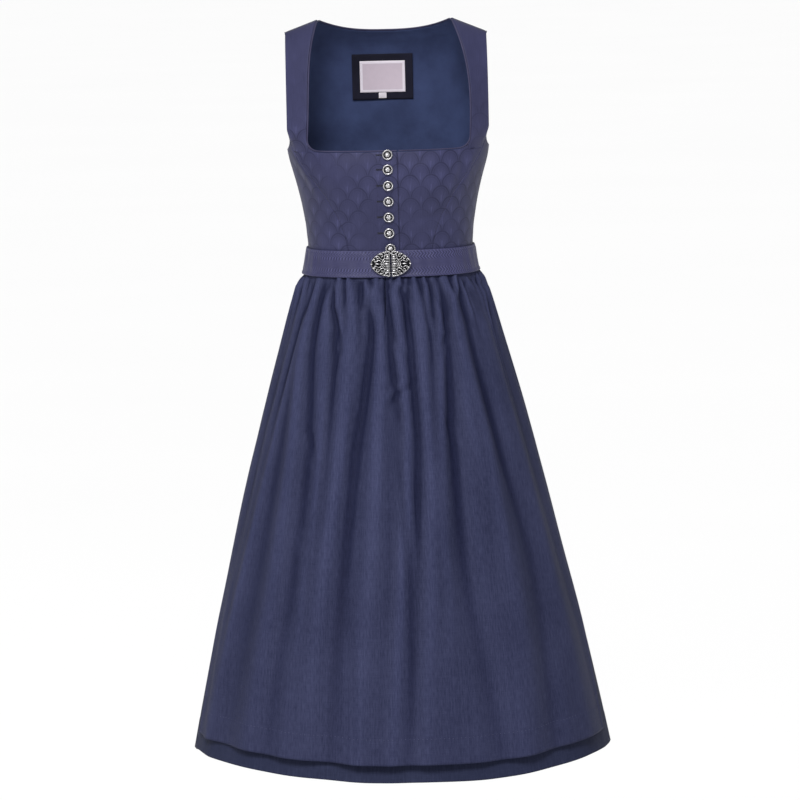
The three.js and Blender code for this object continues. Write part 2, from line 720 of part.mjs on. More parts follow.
const pipingSection = new THREE.Shape();
for (let i = 0; i < 5; i += 1) {
  const turn = i * 72 * DEGREE;
  const at = [PIPING_RADIUS * Math.cos(turn), PIPING_RADIUS * Math.sin(turn)];
  if (i === 0) pipingSection.moveTo(...at);
  else pipingSection.lineTo(...at);
}
const pipingCurve = new THREE.CatmullRomCurve3(pipingPath(), false, 'centripetal');
const pipingShape = { steps: PIPING_STEPS, extrudePath: pipingCurve, bevelEnabled: false };
addPiece('neckline_piping', solid(new THREE.ExtrudeGeometry(pipingSection, pipingShape)), pipingCloth);

// Gathers: cells of uneven width, with a valley at each border and a crest
// half-way. Fine columns stand on the slopes, coarse ones on crest and valley.
function gatherBorders(count, from, to, salt) {
  const widths = range(count, (i) => 1 + 0.5 * (uneven(i, salt) - 0.5));
  const total = widths.reduce((sum, width) => sum + width, 0);
  const borders = [from];
  widths.forEach((width, i) => borders.push(borders[i] + width / total * (to - from)));
  return borders;
}

function gatherWave(borders, place, salt) {
  let i = 0;
  while (i < borders.length - 2 && place > borders[i + 1]) i += 1;
  const share = (place - borders[i]) / (borders[i + 1] - borders[i]);
  const crest = blend(0.6, 1.3, uneven(i, salt + 7));
  return blend(-1, crest, (1 - Math.cos(2 * Math.PI * share)) / 2);
}

function gatherColumns(borders, fine) {
  const shares = fine ? [0.125, 0.375, 0.625, 0.875] : [0, 0.5];
  const places = [];
  for (let i = 0; i < borders.length - 1; i += 1) {
    for (const share of shares) places.push(blend(borders[i], borders[i + 1], share));
  }
  if (fine) places.unshift(borders[0]);
  places.push(borders[borders.length - 1]);
  return places;
}

// The skirt and the apron are laid out from the skirt's rings
function skirtPoint(angle, z, offset) {
  const boxiness = BOXINESS * (1 - ease((SKIRT_TOP_Z - z) / 200));
  return ringPoint(ring(SKIRT_RINGS, z, offset), angle, z, boxiness);
}

function apronEdge(z) {
  const share = (z - BAND_BOTTOM_Z) / (APRON_HEM_Z - BAND_BOTTOM_Z);
  return blend(APRON_WAIST_ANGLE, APRON_HEM_ANGLE, share);
}

// How many mm one degree is worth along the skirt's ring
function arc(angle, z) {
  const size = ring(SKIRT_RINGS, z);
  const c = Math.cos(angle * DEGREE);
  return blend(size.front, size.half, c * c) * DEGREE;
}

function foldRise(fold, levels, angle, z) {
  const rise = along(levels, fold.rise, z);
  const place = along(levels, fold.place, z);
  const down = (levels[0] - z) / (levels[0] - levels[levels.length - 1]);
  const halfWidth = blend(fold.halfWidth[0], fold.halfWidth[1], down);
  const away = (angle - place) * arc(angle, z) / halfWidth;
  return rise * Math.exp(-away * away);
}

function apronFolds(angle, z) {
  let total = 0;
  for (const fold of APRON_FOLDS) total += foldRise(fold, FOLD_LEVELS, angle, z);
  return total * ease((BAND_BOTTOM_Z - z) / 25);
}

const BACK_LEVELS = [-346, -700, -1084];
function backFolds(angle, z) {
  const round = angle < -90 ? angle + 360 : angle;
  let total = 0;
  for (const fold of BACK_FOLDS) {
    const [top, hem] = fold.place;
    const [middleRise, hemRise] = fold.rise;
    const full = {
      place: [top, (top + hem) / 2, hem],
      rise: [0, middleRise, hemRise],
      halfWidth: fold.halfWidth,
    };
    total += foldRise(full, BACK_LEVELS, round, z);
  }
  return total;
}

// Apron: gathered into the band, slit in front, open behind
const APRON_FINE_HEIGHTS = [SLIT_END_Z, -396, -372, -356, -347.8, APRON_TOP_Z];
const APRON_COARSE_HEIGHTS = [APRON_HEM_Z, -985, -910, -830, -750, -680, -610, -550, -500, -455];
const APRON_SALT = 3;
const apronBorders = gatherBorders(APRON_GATHERS, -1, 1, APRON_SALT);
const SLIT = { left: SLIT_PLACE - SLIT_HALF, right: SLIT_PLACE + SLIT_HALF };

function apronPoint(place, z) {
  const angle = place * apronEdge(z);
  const c = Math.max(0, Math.cos(angle * DEGREE));
  const standOff = blend(column(APRON_STAND_OFF, 'side', z), column(APRON_STAND_OFF, 'front', z), c * c);
  const gather = column(GATHER_DEPTHS, 'depth', z) * gatherWave(apronBorders, place, APRON_SALT);
  return skirtPoint(angle, z, standOff + gather + apronFolds(angle, z));
}

function apronRow(z, fine) {
  const clear = gatherColumns(apronBorders, fine).filter((place) => Math.abs(place - SLIT_PLACE) > 0.009);
  const places = [...clear, ...(fine ? [SLIT.left, SLIT.right] : [SLIT_PLACE])];
  places.sort((a, b) => a - b);
  return places.map((place) => ({ place, point: apronPoint(place, z) }));
}

const apronRows = [
  ...APRON_COARSE_HEIGHTS.map((z) => apronRow(z, false)),
  ...APRON_FINE_HEIGHTS.map((z) => apronRow(z, true)),
];
addPiece('apron_skirt', sheet(apronRows, APRON_WALL, { slit: SLIT }), apronCloth);

// Apron waistband: all round, with its two ends under the clasp
const BAND_COLUMNS = 40;
const BAND_END_ANGLE = 1;
const bandRows = [BAND_BOTTOM_Z, -327, BAND_TOP_Z].map((z) => range(BAND_COLUMNS + 1, (i) => {
  const angle = blend(BAND_END_ANGLE, 360 - BAND_END_ANGLE, i / BAND_COLUMNS);
  const down = (BAND_TOP_Z - z) / (BAND_TOP_Z - BAND_BOTTOM_Z);
  const body = z > SKIRT_TOP_Z ? BODICE_RINGS : SKIRT_RINGS;
  const size = ring(body, z, blend(BAND_RISE_TOP, BAND_RISE_BOTTOM, down));
  return { place: i, point: ringPoint(size, angle, z, BOXINESS) };
}));
addPiece('apron_band', sheet(bandRows, BAND_WALL), bandCloth);

// Dress skirt. Its hidden front lies close and plain under the apron.
function skirtOffset(angle, z) {
  const turned = angle > 180 ? angle - 360 : angle;
  const underApron = ease((apronEdge(z) + 2 - Math.abs(turned)) / 9);
  const tucked = -HIDDEN_SINK * ease((-343 - z) / 40) * ease((z + 1040) / 110);
  const hemFolds = 0.35 * apronFolds(turned, z) * ease((-900 - z) / 130);
  return blend(backFolds(angle, z), tucked + hemFolds, underApron);
}

const SKIRT_FRONT_HEIGHTS = [
  HEM_Z, -1045, -990, -920, -840, -760, -680, -600, -520, -450, -400, -357, SKIRT_TOP_Z,
];
const SKIRT_FRONT_ANGLES = [
  0, 6.5, 13, 19.5, 26, 32.5, 39, 45.5, 52, 58, 64, 69, 74, 78, 81, 84.5, SIDE_SEAM_ANGLE,
];
const skirtFrontAngles = [
  ...SKIRT_FRONT_ANGLES.slice(1).reverse().map((angle) => -angle),
  ...SKIRT_FRONT_ANGLES,
];
const skirtFrontRows = SKIRT_FRONT_HEIGHTS.map((z) => skirtFrontAngles.map((angle) => (
  { place: angle, point: skirtPoint(angle, z, skirtOffset(angle, z)) }
)));
addPiece('skirt_front', sheet(skirtFrontRows, SKIRT_WALL), skirtCloth);

const SKIRT_FINE_HEIGHTS = [-422, -394, -372, -356, -348, SKIRT_TOP_Z];
const SKIRT_COARSE_HEIGHTS = [HEM_Z, -1010, -930, -850, -770, -695, -625, -560, -500, -455];
const SKIRT_SALT = 11;
const SEAM_GAP_ANGLE = 0.18;
const backBorders = gatherBorders(
  SKIRT_BACK_GATHERS,
  SIDE_SEAM_ANGLE + SEAM_GAP_ANGLE,
  360 - SIDE_SEAM_ANGLE - SEAM_GAP_ANGLE,
  SKIRT_SALT,
);

function skirtBackPoint(angle, z) {
  const fromSeam = Math.min(angle - SIDE_SEAM_ANGLE, 360 - SIDE_SEAM_ANGLE - angle);
  const besideApron = ease((fromSeam - 14) / 6);
  const gather = column(GATHER_DEPTHS, 'depth', z) * gatherWave(backBorders, angle, SKIRT_SALT);
  return skirtPoint(angle, z, skirtOffset(angle, z) + gather * blend(0.12, 1, besideApron));
}

function skirtBackRow(z, fine) {
  return gatherColumns(backBorders, fine).map((angle) => (
    { place: angle, point: skirtBackPoint(angle, z) }
  ));
}

const skirtBackRows = [
  ...SKIRT_COARSE_HEIGHTS.map((z) => skirtBackRow(z, false)),
  ...SKIRT_FINE_HEIGHTS.map((z) => skirtBackRow(z, true)),
];
addPiece('skirt_back', sheet(skirtBackRows, SKIRT_WALL), skirtCloth);

// Buttons: a domed centre in a raised rim, each on a short shank
function buttonGeometry(shank) {
  const profile = [
    [0, -shank], [2, -shank], [2, 0], [BUTTON_RADIUS, 0], [BUTTON_RADIUS, 1.2],
    [6.2, 1.9], [5.2, 1.2], [0, 2.6],
  ];
  const points = profile.map(([radius, height]) => new THREE.Vector2(radius, height));
  return solid(new THREE.LatheGeometry(points, BUTTON_SIDES).rotateX(Math.PI));
}

function frontAt(x, z) {
  const half = column(BODICE_RINGS, 'half', z) * (1 + BOXINESS);
  return frontPoint(-1, -Math.asin(x / half) / DEGREE, z - BUST_Z);
}

BUTTON_HEIGHTS.forEach((z, i) => {
  const top = frontAt(BUTTON_X, z + 3.6);
  const bottom = frontAt(BUTTON_X, z - 3.6);
  const down = bottom.clone().sub(top).normalize();
  const outward = new THREE.Vector3(0, down.z, -down.y);
  const button = addPiece(`button_${i + 1}`, buttonGeometry(BUTTON_SHANK), silver);
  const seat = top.add(bottom).multiplyScalar(0.5);
  button.quaternion.setFromUnitVectors(new THREE.Vector3(0, -1, 0), outward);
  button.position.copy(seat).addScaledVector(outward, BUTTON_SHANK + 0.5);
});

// The last button stands out over the band's top edge, behind the clasp
const lastSeat = frontAt(0, LAST_BUTTON_Z);
const lastButton = addPiece('button_7', buttonGeometry(lastSeat.y - LAST_BUTTON_Y - 1.1), silver);
lastButton.position.set(0, LAST_BUTTON_Y, LAST_BUTTON_Z);

// Clasp: two halves of an openwork oval, with beads on a pierced plate
function claspEdge(share, inset) {
  const x = (CLASP_HALF_WIDTH - inset) * Math.sin(share * 90 * DEGREE);
  const z = (CLASP_HALF_HEIGHT - inset) * Math.cos(share * 90 * DEGREE) ** 1.15;
  return [x, z];
}

function claspOutline(inset) {
  const upper = range(7, (i) => claspEdge(i / 6, inset));
  upper[0][0] = 0.45 + inset;
  const lower = upper.slice(0, -1).reverse().map(([x, z]) => [x, -z]);
  return [...upper, ...lower].map(([x, z]) => new THREE.Vector2(x, z));
}

const CLASP_WINDOWS = [
  [[9.5, 7.5], [14, 6.5], [17, 8.5], [13.5, 12.5], [9.5, 12]],
  [[9.5, -12], [13.5, -12.5], [17, -8.5], [14, -6.5], [9.5, -7.5]],
  [[17, 3.2], [22.5, 3.2], [20, 6.4]],
  [[20, -6.4], [22.5, -3.2], [17, -3.2]],
];

const CLASP_BEADS = [
  { at: [6.2, 0], size: [5.3, 2.4, 2.2] },
  { at: [4.3, 9.3], size: [2.4, 2.1, 1.9] },
  { at: [4.3, -9.3], size: [2.4, 2.1, 1.9] },
  { at: [20.5, 0], size: [3.4, 1.9, 1.8] },
];

function claspHalf() {
  const plateShape = new THREE.Shape(claspOutline(0));
  for (const corners of CLASP_WINDOWS) {
    plateShape.holes.push(new THREE.Path(corners.map(([x, z]) => new THREE.Vector2(x, z))));
  }
  const plate = new THREE.ExtrudeGeometry(plateShape, { depth: CLASP_PLATE, bevelEnabled: false });
  const rimShape = new THREE.Shape(claspOutline(0.2));
  rimShape.holes.push(new THREE.Path(claspOutline(2).reverse()));
  const rim = new THREE.ExtrudeGeometry(rimShape, { depth: CLASP_PLATE + 0.8, bevelEnabled: false });
  let body = toManifold(plate).add(toManifold(rim.translate(0, 0, 0.01)));
  for (const { at, size } of CLASP_BEADS) {
    const bead = new THREE.SphereGeometry(1, 8, 5).scale(...size).translate(...at, CLASP_PLATE);
    body = body.add(toManifold(bead));
  }
  return fromManifold(body).rotateX(Math.PI / 2);
}

for (const [name, turn] of [['clasp_right', Math.PI], ['clasp_left', 0]]) {
  const half = addPiece(name, claspHalf().rotateY(turn), silver);
  half.position.set(0, CLASP_Y, CLASP_Z);
  half.rotation.x = CLASP_TILT;
}

export default dirndl;
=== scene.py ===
# A dirndl as it hangs on its wearer's shoulders, with nobody in it: a jacquard
# bodice with silver buttons, a gathered skirt, and a gathered apron whose
# herringbone band closes with an openwork clasp.
import math

import bmesh
import bpy
import numpy as np
from mathutils import Matrix, Vector


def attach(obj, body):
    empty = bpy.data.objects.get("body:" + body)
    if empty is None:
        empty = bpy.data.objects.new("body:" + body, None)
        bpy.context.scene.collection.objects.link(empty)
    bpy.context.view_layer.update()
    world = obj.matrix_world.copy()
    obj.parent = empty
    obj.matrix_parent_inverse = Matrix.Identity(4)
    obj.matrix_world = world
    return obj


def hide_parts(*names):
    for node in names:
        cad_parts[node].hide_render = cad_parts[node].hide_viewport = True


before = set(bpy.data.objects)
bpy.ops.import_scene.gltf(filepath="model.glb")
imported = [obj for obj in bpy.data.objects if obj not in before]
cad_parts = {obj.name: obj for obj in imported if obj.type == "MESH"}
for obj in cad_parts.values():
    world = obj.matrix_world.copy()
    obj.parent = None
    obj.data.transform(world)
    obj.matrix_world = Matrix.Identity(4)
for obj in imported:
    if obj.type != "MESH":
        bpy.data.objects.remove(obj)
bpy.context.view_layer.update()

# Sizes are millimetres in the frame's own axes, as on a maker's pattern, and
# every mesh is scaled to metres when it is made
MM = 0.001

# Heights, measured from between the shoulders
NECK_Z = 35
BACK_NECK_Z = 16
BUST_Z = -158
BAND_TOP_Z = -307
BAND_BOTTOM_Z = -346.5
BODICE_BOTTOM_Z = -341.4
SKIRT_TOP_Z = -342
APRON_TOP_Z = -341.5
APRON_HEM_Z = -1056
HEM_Z = -1084

# Straps and neckline. Edges are shares of a ring's half, angles are degrees from
# centre front, and powers say how a curve bends on its way up
SHOULDER_HALF = 152
NECK_HALF = 101
SHOULDER_SLOPE = 0.41
SHOULDER_Y = 6
NECK_EDGE = 0.81
ARM_EDGE = 0.915
BOXINESS = 0.09
ARM_FRONT_ANGLE = 66
ARM_BACK_ANGLE = 64
ARM_CURVE = 0.24
CORNER_ANGLE = 39.9
STRAP_ANGLE = 51.5
CORNER_RISE = 0.1
CHEST_POWER = 2.4
BACK_POWER = 5
NECK_SHIFT = 3.5
SHOULDER_RISE = NECK_Z - BUST_Z
NECK_POWER = 3.5
ARM_OPENED = 0.2
# Where the front's seam ends in the armhole, and the gap that it leaves in degrees
ARM_START = 0.09
SEAM_TOP_Z = 14
SEAM_ANGLE_GAP = 0.03

# Fullness at either side of the front, round one place
FULL_X = 82
FULL_Z = -203
FULL_WIDTH = 42
FULL_HEIGHT = 36
FULL_RISE = 7

# Front closing
LAP_X = 13
UNDERLAP_X = -6
LAP_RAISE = 1.3
LAP_STEP = 2.6
LAP_FADE = 30
LAP_END_X = -38
UNDERLAP_END_X = 44
IN_BAND_Z = -288
IN_BAND_FADE = 16

# Buttons, each with a ring of beads at its rim. The last one sits just above the clasp
BUTTON_X = -1.5
BUTTON_HEIGHTS = (-162.3, -184, -208, -232, -256, -280.5)
LAST_BUTTON = (0, -99.9, -304.5)
BUTTON_RADIUS = 7.75
BUTTON_SHANK = 0.9
SEAT_HALF = 3.6
BEAD_RING = 6.65
BEAD_HEIGHT = 1.75
BEAD_COUNT = 30

# Cloth thickness, and how deep the inner layers lie
BODICE_WALL = 1.3
LINING_WALL = 0.7
SKIRT_WALL = 0.9
APRON_WALL = 0.9
BAND_WALL = 2.0
PATCH_WALL = 0.5
LABEL_WALL = 0.35
LINING_DEPTH = 3.6
PATCH_DEPTH = 5.8
LABEL_DEPTH = 7.2
# Left, right, bottom and top of what is sewn inside the back
PATCH_EDGES = (-54, 41, -91, -19)
LABEL_EDGES = (-42, 29, -80, -30)
TAB_EDGES = (-13, -1, -89, -80.5)

# Seams, piping, and the pull on the wearer's right strap
SEAM_GAP = 0.08
SHOULDER_GAP = 0.2
PULL_LENGTH = 110
PULL_START = 55
PULL_OUT = 3.6
PULL_UP_NECK = 1.2
PULL_UP_ARM = 4.7
SEAM_SINK = 0.28
SEAM_WIDTH = 1.7
SEAM_TURN = 2
PIPING_RADIUS = 1.05
PIPING_REACH = 1.75

# Apron. The slit's place and half-width are shares of the way from middle to edge
APRON_WAIST_ANGLE = 105
APRON_HEM_ANGLE = 79.5
APRON_GATHERS = 28
APRON_SALT = 3
SLIT_PLACE = -0.034
SLIT_HALF = 0.0024
SLIT_END_Z = -425
APRON_HEM_DEPTH = 38
SIDE_HEM_WIDTH = 9
FOLD_STRENGTH = 1.2
GATHER_STAND = 3.2
MEASURED_ANGLE = 58
APRON_MAP_HALF = 430

# Skirt
SIDE_SEAM_ANGLE = 88
SKIRT_BACK_GATHERS = 22
SKIRT_SALT = 11
HIDDEN_SINK = 4
SKIRT_HEM_DEPTH = 46
SKIRT_FRONT_MAP_HALF = 480
SKIRT_BACK_MAP_HALF = 560

# Clasp. How worn silver is runs from 0, dark, to 1, polished
CLASP_HALF_WIDTH = 30.6
CLASP_HALF_HEIGHT = 20
CLASP_PLACE = (0, -104.8, -326.3)
CLASP_TILT = -0.075
PLATE_INSET = 0.7
PLATE_HALF = 0.55
PLATE_BEVEL = 0.25
PLATE_HEIGHT = 0.9
PLATE_WORN = 0.08
KNOB_SIZE = (1.35, 1.2, 1.1)
CURL_WIRE = (0.66, 0.4)
RIM_INSET = 1.2
RIM_HEIGHT = 1.9
RIM_WIRE = 0.45

# Stitches: distance from one to the next, thickness and half-length
BAND_STITCH = (3.1, 0.24, 1.15)
SIDE_STITCH = (3.0, 0.2, 1.05)
HEM_STITCH = (6.5, 0.2, 0.8)
BAND_STITCH_INSET = 3.2

# Distances to the neighbours against which a hollow in the cloth is measured
HOLLOW_REACHES = (5, 12)
DEGREE = math.pi / 180


def table(names, *rows):
    """Columns by name from rows of numbers."""
    return {name: np.array([row[i] for row in rows], float) for i, name in enumerate(names)}


# Rings of the body under the bodice, and of the skirt
BODICE_RINGS = table(
    ("z", "half", "front", "back"),
    (-158, 153, 116, 104),
    (-175, 150, 118, 103),
    (-205, 141.5, 117, 98),
    (-235, 134.3, 110, 92),
    (-265, 129, 102, 86),
    (-290, 126, 97.5, 83.5),
    (-307, 125, 95.8, 83.3),
    (-342, 128.2, 97.5, 91.5),
)
SKIRT_RINGS = table(
    ("z", "half", "front", "back"),
    (-342, 128.8, 98, 92),
    (-376, 140, 109, 105),
    (-430, 157, 125, 124),
    (-545, 191, 156, 158),
    (-660, 220, 183, 187),
    (-777, 248, 208, 213),
    (-893, 277, 231, 237),
    (-1010, 302.5, 252, 258),
    (-1084, 317.5, 265, 270),
)
APRON_STAND_OFF = table(
    ("z", "front", "side"),
    (-341, 1.8, 1.8),
    (-348, 2.5, 2.5),
    (-360, 5, 4.5),
    (-400, 8.5, 5.4),
    (-500, 11, 5.6),
    (-800, 12, 5.2),
    (-1056, 13.5, 4.6),
)
# Gathers: how deep they are at each distance below the band
GATHER_DEPTHS = table(
    ("drop", "depth"),
    (0, 0.3),
    (-3, 1.5),
    (-10, 3.3),
    (-26, 3.4),
    (-50, 2.3),
    (-80, 1.2),
    (-120, 0.45),
    (-180, 0),
)
PRINCESS_SEAM = table(
    ("z", "angle"),
    (-142.5, 71.3),
    (-158, 65.5),
    (-178, 57.5),
    (-198, 50.3),
    (-218, 44),
    (-240, 38.2),
    (-262, 33.5),
    (-285, 30.2),
    (-307, 28.3),
    (-342, 27.5),
)

# Folds of the apron: place in degrees round the dress and rise in mm outward,
# both at five levels, and half-width in mm at waist and hem
FOLD_LEVELS = np.array([-346, -440, -600, -800, -1056], float)
APRON_FOLDS = (
    ((-74, -74, -76, -79, -82), (0, -3, -4, -2, 0), (12, 22)),
    ((-58, -59, -61.5, -64.5, -68), (0, 3, 4, 4.5, 3.5), (7, 18)),
    ((-56, -56, -55, -56, -58), (0, 0, -3, -5, -4), (12, 28)),
    ((-57, -61, -63, -64, -64), (-2, -5, -3, 0, 0), (8, 14)),
    ((-51, -52, -47, -46, -47), (0, 4, 5, 5, 4), (10, 30)),
    ((-46, -45.5, -38, -37, -40), (-2, -5, -5, -4, -3), (8, 26)),
    ((-38, -31, -28, -28, -28), (-2, -5, -2, 0, 0), (7, 12)),
    ((-30, -30, -30, -32, -34), (0, 0, 3, 3, 2), (10, 22)),
    ((-20, -20.5, -21.5, -26, -29), (0, 4, 5, 4, 3), (10, 24)),
    ((-8, -10.5, -16, -18.5, -20), (-1, -7, -9, -8, -5), (9, 26)),
    ((-7, -6.5, -7, -9, -11), (1, 4, 6, 5, 4), (9, 24)),
    ((-3.5, -1.5, 4.5, 4, 2), (-1, -4, -3, -2, -1), (7, 15)),
    ((2, 3.5, 5.5, 1.4, -3), (1, 3, 4.5, 4.5, 3), (8, 19)),
    ((8.6, 8.6, 9.2, 5.2, 2.6), (-2, -5, -6, -3.5, -1), (7, 20)),
    ((12.6, 14, 12.8, 10.7, 6.5), (2, 5, 6.5, 5, 2.5), (8, 24)),
    ((29, 25.5, 19, 15.5, 13), (1, 4, 4, 3, 2), (8, 20)),
    ((32, 27.5, 24.8, 23.5, 28), (-1, -5, -8, -7, -5), (9, 26)),
    ((36, 37, 38.8, 40, 35.5), (0, 4, 6, 6, 4), (12, 32)),
    ((44, 43, 48, 52.5, 46), (-1, -4, -6, -6, -4), (9, 26)),
    ((58, 58, 60, 63, 62), (0, 3, 4, 4, 3), (12, 30)),
    ((70, 70, 72, 75, 78), (0, -3, -4, -3, -2), (12, 26)),
)
# Creases of the apron's front: rise in mm, half-width in mm, and the points
# (x, z) that each runs through
APRON_CREASES = (
    (-3.4, 5, ((-10, -531), (8, -517), (31, -503))),
    (2.0, 6, ((-16, -521), (2, -507), (26, -494))),
    (-3.2, 5, ((-86, -352), (-95, -391), (-82, -427), (-79, -451), (-91, -492))),
    (1.6, 6, ((-97, -440), (-92, -470), (-99, -515))),
    (-2.6, 7, ((-142, -565), (-128, -584), (-121, -612))),
    (-2.4, 5, ((78, -548), (82, -566), (91, -592))),
    (-2.8, 6, ((3, -420), (9, -447), (20, -470))),
    (-2.4, 5, ((66, -366), (80, -402), (84, -431), (71, -458))),
    (1.5, 5, ((60, -372), (71, -404), (75, -428))),
    (-1.8, 5, ((26, -352), (22, -392), (30, -440))),
    (-1.7, 5, ((-45, -352), (-50, -400), (-44, -452))),
    (-1.6, 6, ((112, -352), (128, -402), (131, -448))),
    (-1.6, 6, ((-118, -352), (-136, -405), (-150, -470))),
    (1.3, 9, ((-150, -700), (-142, -790), (-150, -900))),
    (-1.3, 10, ((52, -700), (66, -800), (60, -905))),
    (-1.2, 9, ((-60, -760), (-74, -850), (-70, -960))),
    (-1.1, 8, ((150, -640), (168, -720), (172, -800))),
    (2.6, 5, ((-194, -560), (-226, -660), (-252, -790), (-272, -905), (-290, -1000), (-298, -1040))),
    (1.8, 6, ((14, -560), (18, -640), (26, -740), (22, -880))),
    (-1.8, 6, ((6, -600), (10, -700), (14, -790))),
    (-1.6, 7, ((-62, -470), (-66, -560), (-74, -650))),
    (1.4, 7, ((96, -470), (112, -560), (132, -660))),
)
# Gathers as they fall from the band at the front: rise and half-width in mm at
# the band, and the points (x, z) that each runs through on its way down
FRONT_GATHERS = (
    (-2.0, 3, ((-131, -345), (-136, -355), (-140, -366))),
    (-3.0, 4, ((-119, -346), (-125, -364), (-133, -389), (-139, -408))),
    (-4.4, 4, ((-96, -344), (-98, -353), (-105, -371), (-114, -394), (-121, -419), (-127, -447))),
    (-2.6, 5, ((-87, -348), (-94, -364), (-96, -382), (-92, -409), (-83, -436))),
    (-3.8, 3, ((-70, -346), (-72, -352), (-73, -363), (-73, -380), (-75, -398))),
    (-2.8, 3, ((-59, -346), (-57, -354), (-54, -371), (-53, -388))),
    (-4.2, 5, ((-47, -347), (-47, -361), (-44, -381), (-38, -404), (-36, -444))),
    (-3.8, 3, ((-36, -346), (-33, -353), (-32, -362))),
    (-2.6, 3, ((-17, -348), (-14, -359), (-16, -382), (-21, -400))),
    (-5.0, 4, ((-9, -347), (-9, -367), (-7, -390), (-2, -415), (6, -444))),
    (-3.0, 3, ((4, -349), (0, -358), (-1, -367))),
    (-4.0, 3.5, ((18, -349), (16, -366), (20, -387), (23, -420), (26, -445))),
    (-3.0, 3, ((27, -349), (28, -354), (26, -360))),
    (-3.0, 5, ((41, -348), (45, -358), (42, -381))),
    (-4.0, 3.5, ((54, -348), (59, -358), (62, -378), (65, -401), (69, -426))),
    (-4.0, 4, ((70, -349), (75, -362), (80, -385), (84, -407), (76, -429))),
    (-4.2, 3, ((89, -349), (93, -359), (96, -374))),
    (-3.0, 4, ((101, -351), (107, -367), (105, -383), (113, -405), (127, -433))),
    (-3.0, 4, ((110, -351), (119, -368), (128, -390), (145, -418))),
    (-3.2, 3, ((119, -350), (131, -364), (140, -378))),
    (2.6, 3, ((12, -348), (18, -364), (20, -378), (23, -405))),
    (2.2, 4, ((-21, -349), (-28, -369), (-30, -398), (-30, -423))),
    (2.4, 3, ((-14, -349), (-12, -363), (-12, -380))),
    (2.0, 4, ((-78, -348), (-76, -355), (-78, -367))),
    (2.0, 5, ((75, -352), (87, -376), (93, -403))),
    (1.8, 4, ((-90, -348), (-100, -372), (-109, -398))),
    (1.8, 4, ((-64, -348), (-64, -366), (-63, -392))),
    (1.6, 4, ((34, -348), (35, -372), (33, -402))),
    (1.8, 4, ((49, -348), (53, -366), (53, -398))),
    (2.0, 4, ((98, -350), (101, -366), (98, -392))),
)
# Folds of the skirt behind the apron: place and rise at waist and hem
BACK_FOLDS = (
    ((97, 96), (5, 6), (12, 30)),
    ((108, 106), (-6, -7), (10, 26)),
    ((119, 118), (6, 9), (12, 30)),
    ((130, 131), (-7, -8), (11, 28)),
    ((143, 142), (7, 8), (13, 30)),
    ((153, 154), (-5, -9), (9, 26)),
    ((164, 166), (7, 10), (12, 32)),
    ((176, 178), (-8, -9), (11, 28)),
    ((187, 190), (6, 9), (10, 28)),
    ((199, 201), (-6, -8), (12, 30)),
    ((212, 213), (8, 9), (13, 32)),
    ((224, 226), (-6, -8), (10, 26)),
    ((236, 237), (6, 7), (12, 30)),
    ((248, 250), (-6, -7), (11, 28)),
    ((262, 263), (5, 5), (12, 28)),
)
# How far the hems rise from the straight, in mm, by degrees round the dress
HEM_RISES = table(
    ("angle", "rise"),
    (125, 0),
    (100, 0),
    (80, 4),
    (66, 6),
    (55, 4),
    (42, 1),
    (25, -3),
    (8, -1),
    (-10, 0),
    (-25, 4),
    (-38, 7),
    (-48, 10),
    (-58, 11),
    (-68, 12),
    (-80, 12),
    (-90, 6),
    (-105, 0),
    (-125, 0),
)
# Creases of the bodice front, by side (+1 is the wearer's left)
BODICE_CREASES = (
    (1, -1.6, 9, ((18, -205), (48, -196), (92, -192))),
    (1, 0.8, 9, ((24, -188), (60, -181), (96, -180))),
    (1, 1.5, 6, ((126, -160), (122, -184), (112, -212))),
    (1, -1.4, 6, ((112, -164), (110, -190), (100, -216))),
    (1, -0.8, 7, ((40, -262), (72, -255), (104, -258))),
    (1, -0.7, 6, ((22, -288), (52, -280), (88, -283))),
    (-1, 1.9, 6, ((-144, -158), (-130, -180), (-114, -206), (-106, -226))),
    (-1, -1.5, 6, ((-148, -172), (-134, -194), (-120, -218))),
    (-1, -0.9, 8, ((-26, -214), (-52, -208), (-84, -212))),
    (-1, -0.8, 7, ((-34, -268), (-66, -260), (-104, -266))),
    (-1, -0.7, 6, ((-22, -292), (-58, -285), (-96, -290))),
    (-1, 0.6, 8, ((-30, -236), (-62, -232), (-92, -236))),
)


def blend(start, stop, share):
    return start + (stop - start) * share


def ease(value):
    t = np.clip(value, 0, 1)
    return t * t * (3 - 2 * t)


def along(levels, values, level):
    """A smooth curve through a table's values, whose levels run downward."""
    levels = np.asarray(levels, float)
    values = np.asarray(values, float)
    last = len(levels) - 1
    before = np.maximum(np.arange(last + 1) - 1, 0)
    after = np.minimum(np.arange(last + 1) + 1, last)
    slopes = (values[after] - values[before]) / (levels[after] - levels[before])
    i = np.clip(np.searchsorted(-levels, -np.asarray(level, float), side="right") - 1, 0, last - 1)
    span = levels[i + 1] - levels[i]
    t = np.clip((level - levels[i]) / span, 0, 1)
    start = (2 * t**3 - 3 * t**2 + 1) * values[i] + (t**3 - 2 * t**2 + t) * span * slopes[i]
    stop = (3 * t**2 - 2 * t**3) * values[i + 1] + (t**3 - t**2) * span * slopes[i + 1]
    return start + stop


def column(rings, name, level, levels="z"):
    """One column of a table at a level between its rows."""
    return along(rings[levels], rings[name], level)


def uneven(index, salt):
    """A repeatable uneven number from 0 to 1."""
    wave = np.sin(np.asarray(index) * 12.9898 + salt * 78.233) * 43758.5453
    return wave - np.floor(wave)


def ring_point(half, front, back, angle, z, boxiness):
    """A point of a ring: 0 degrees is centre front, 90 the wearer's left."""
    s = np.sin(angle * DEGREE)
    c = np.cos(angle * DEGREE)
    x = half * s * (1 + boxiness * c * c)
    y = -np.where(c > 0, front, back) * c * (1 + boxiness * s * s)
    return np.stack(np.broadcast_arrays(x, y, z), -1)


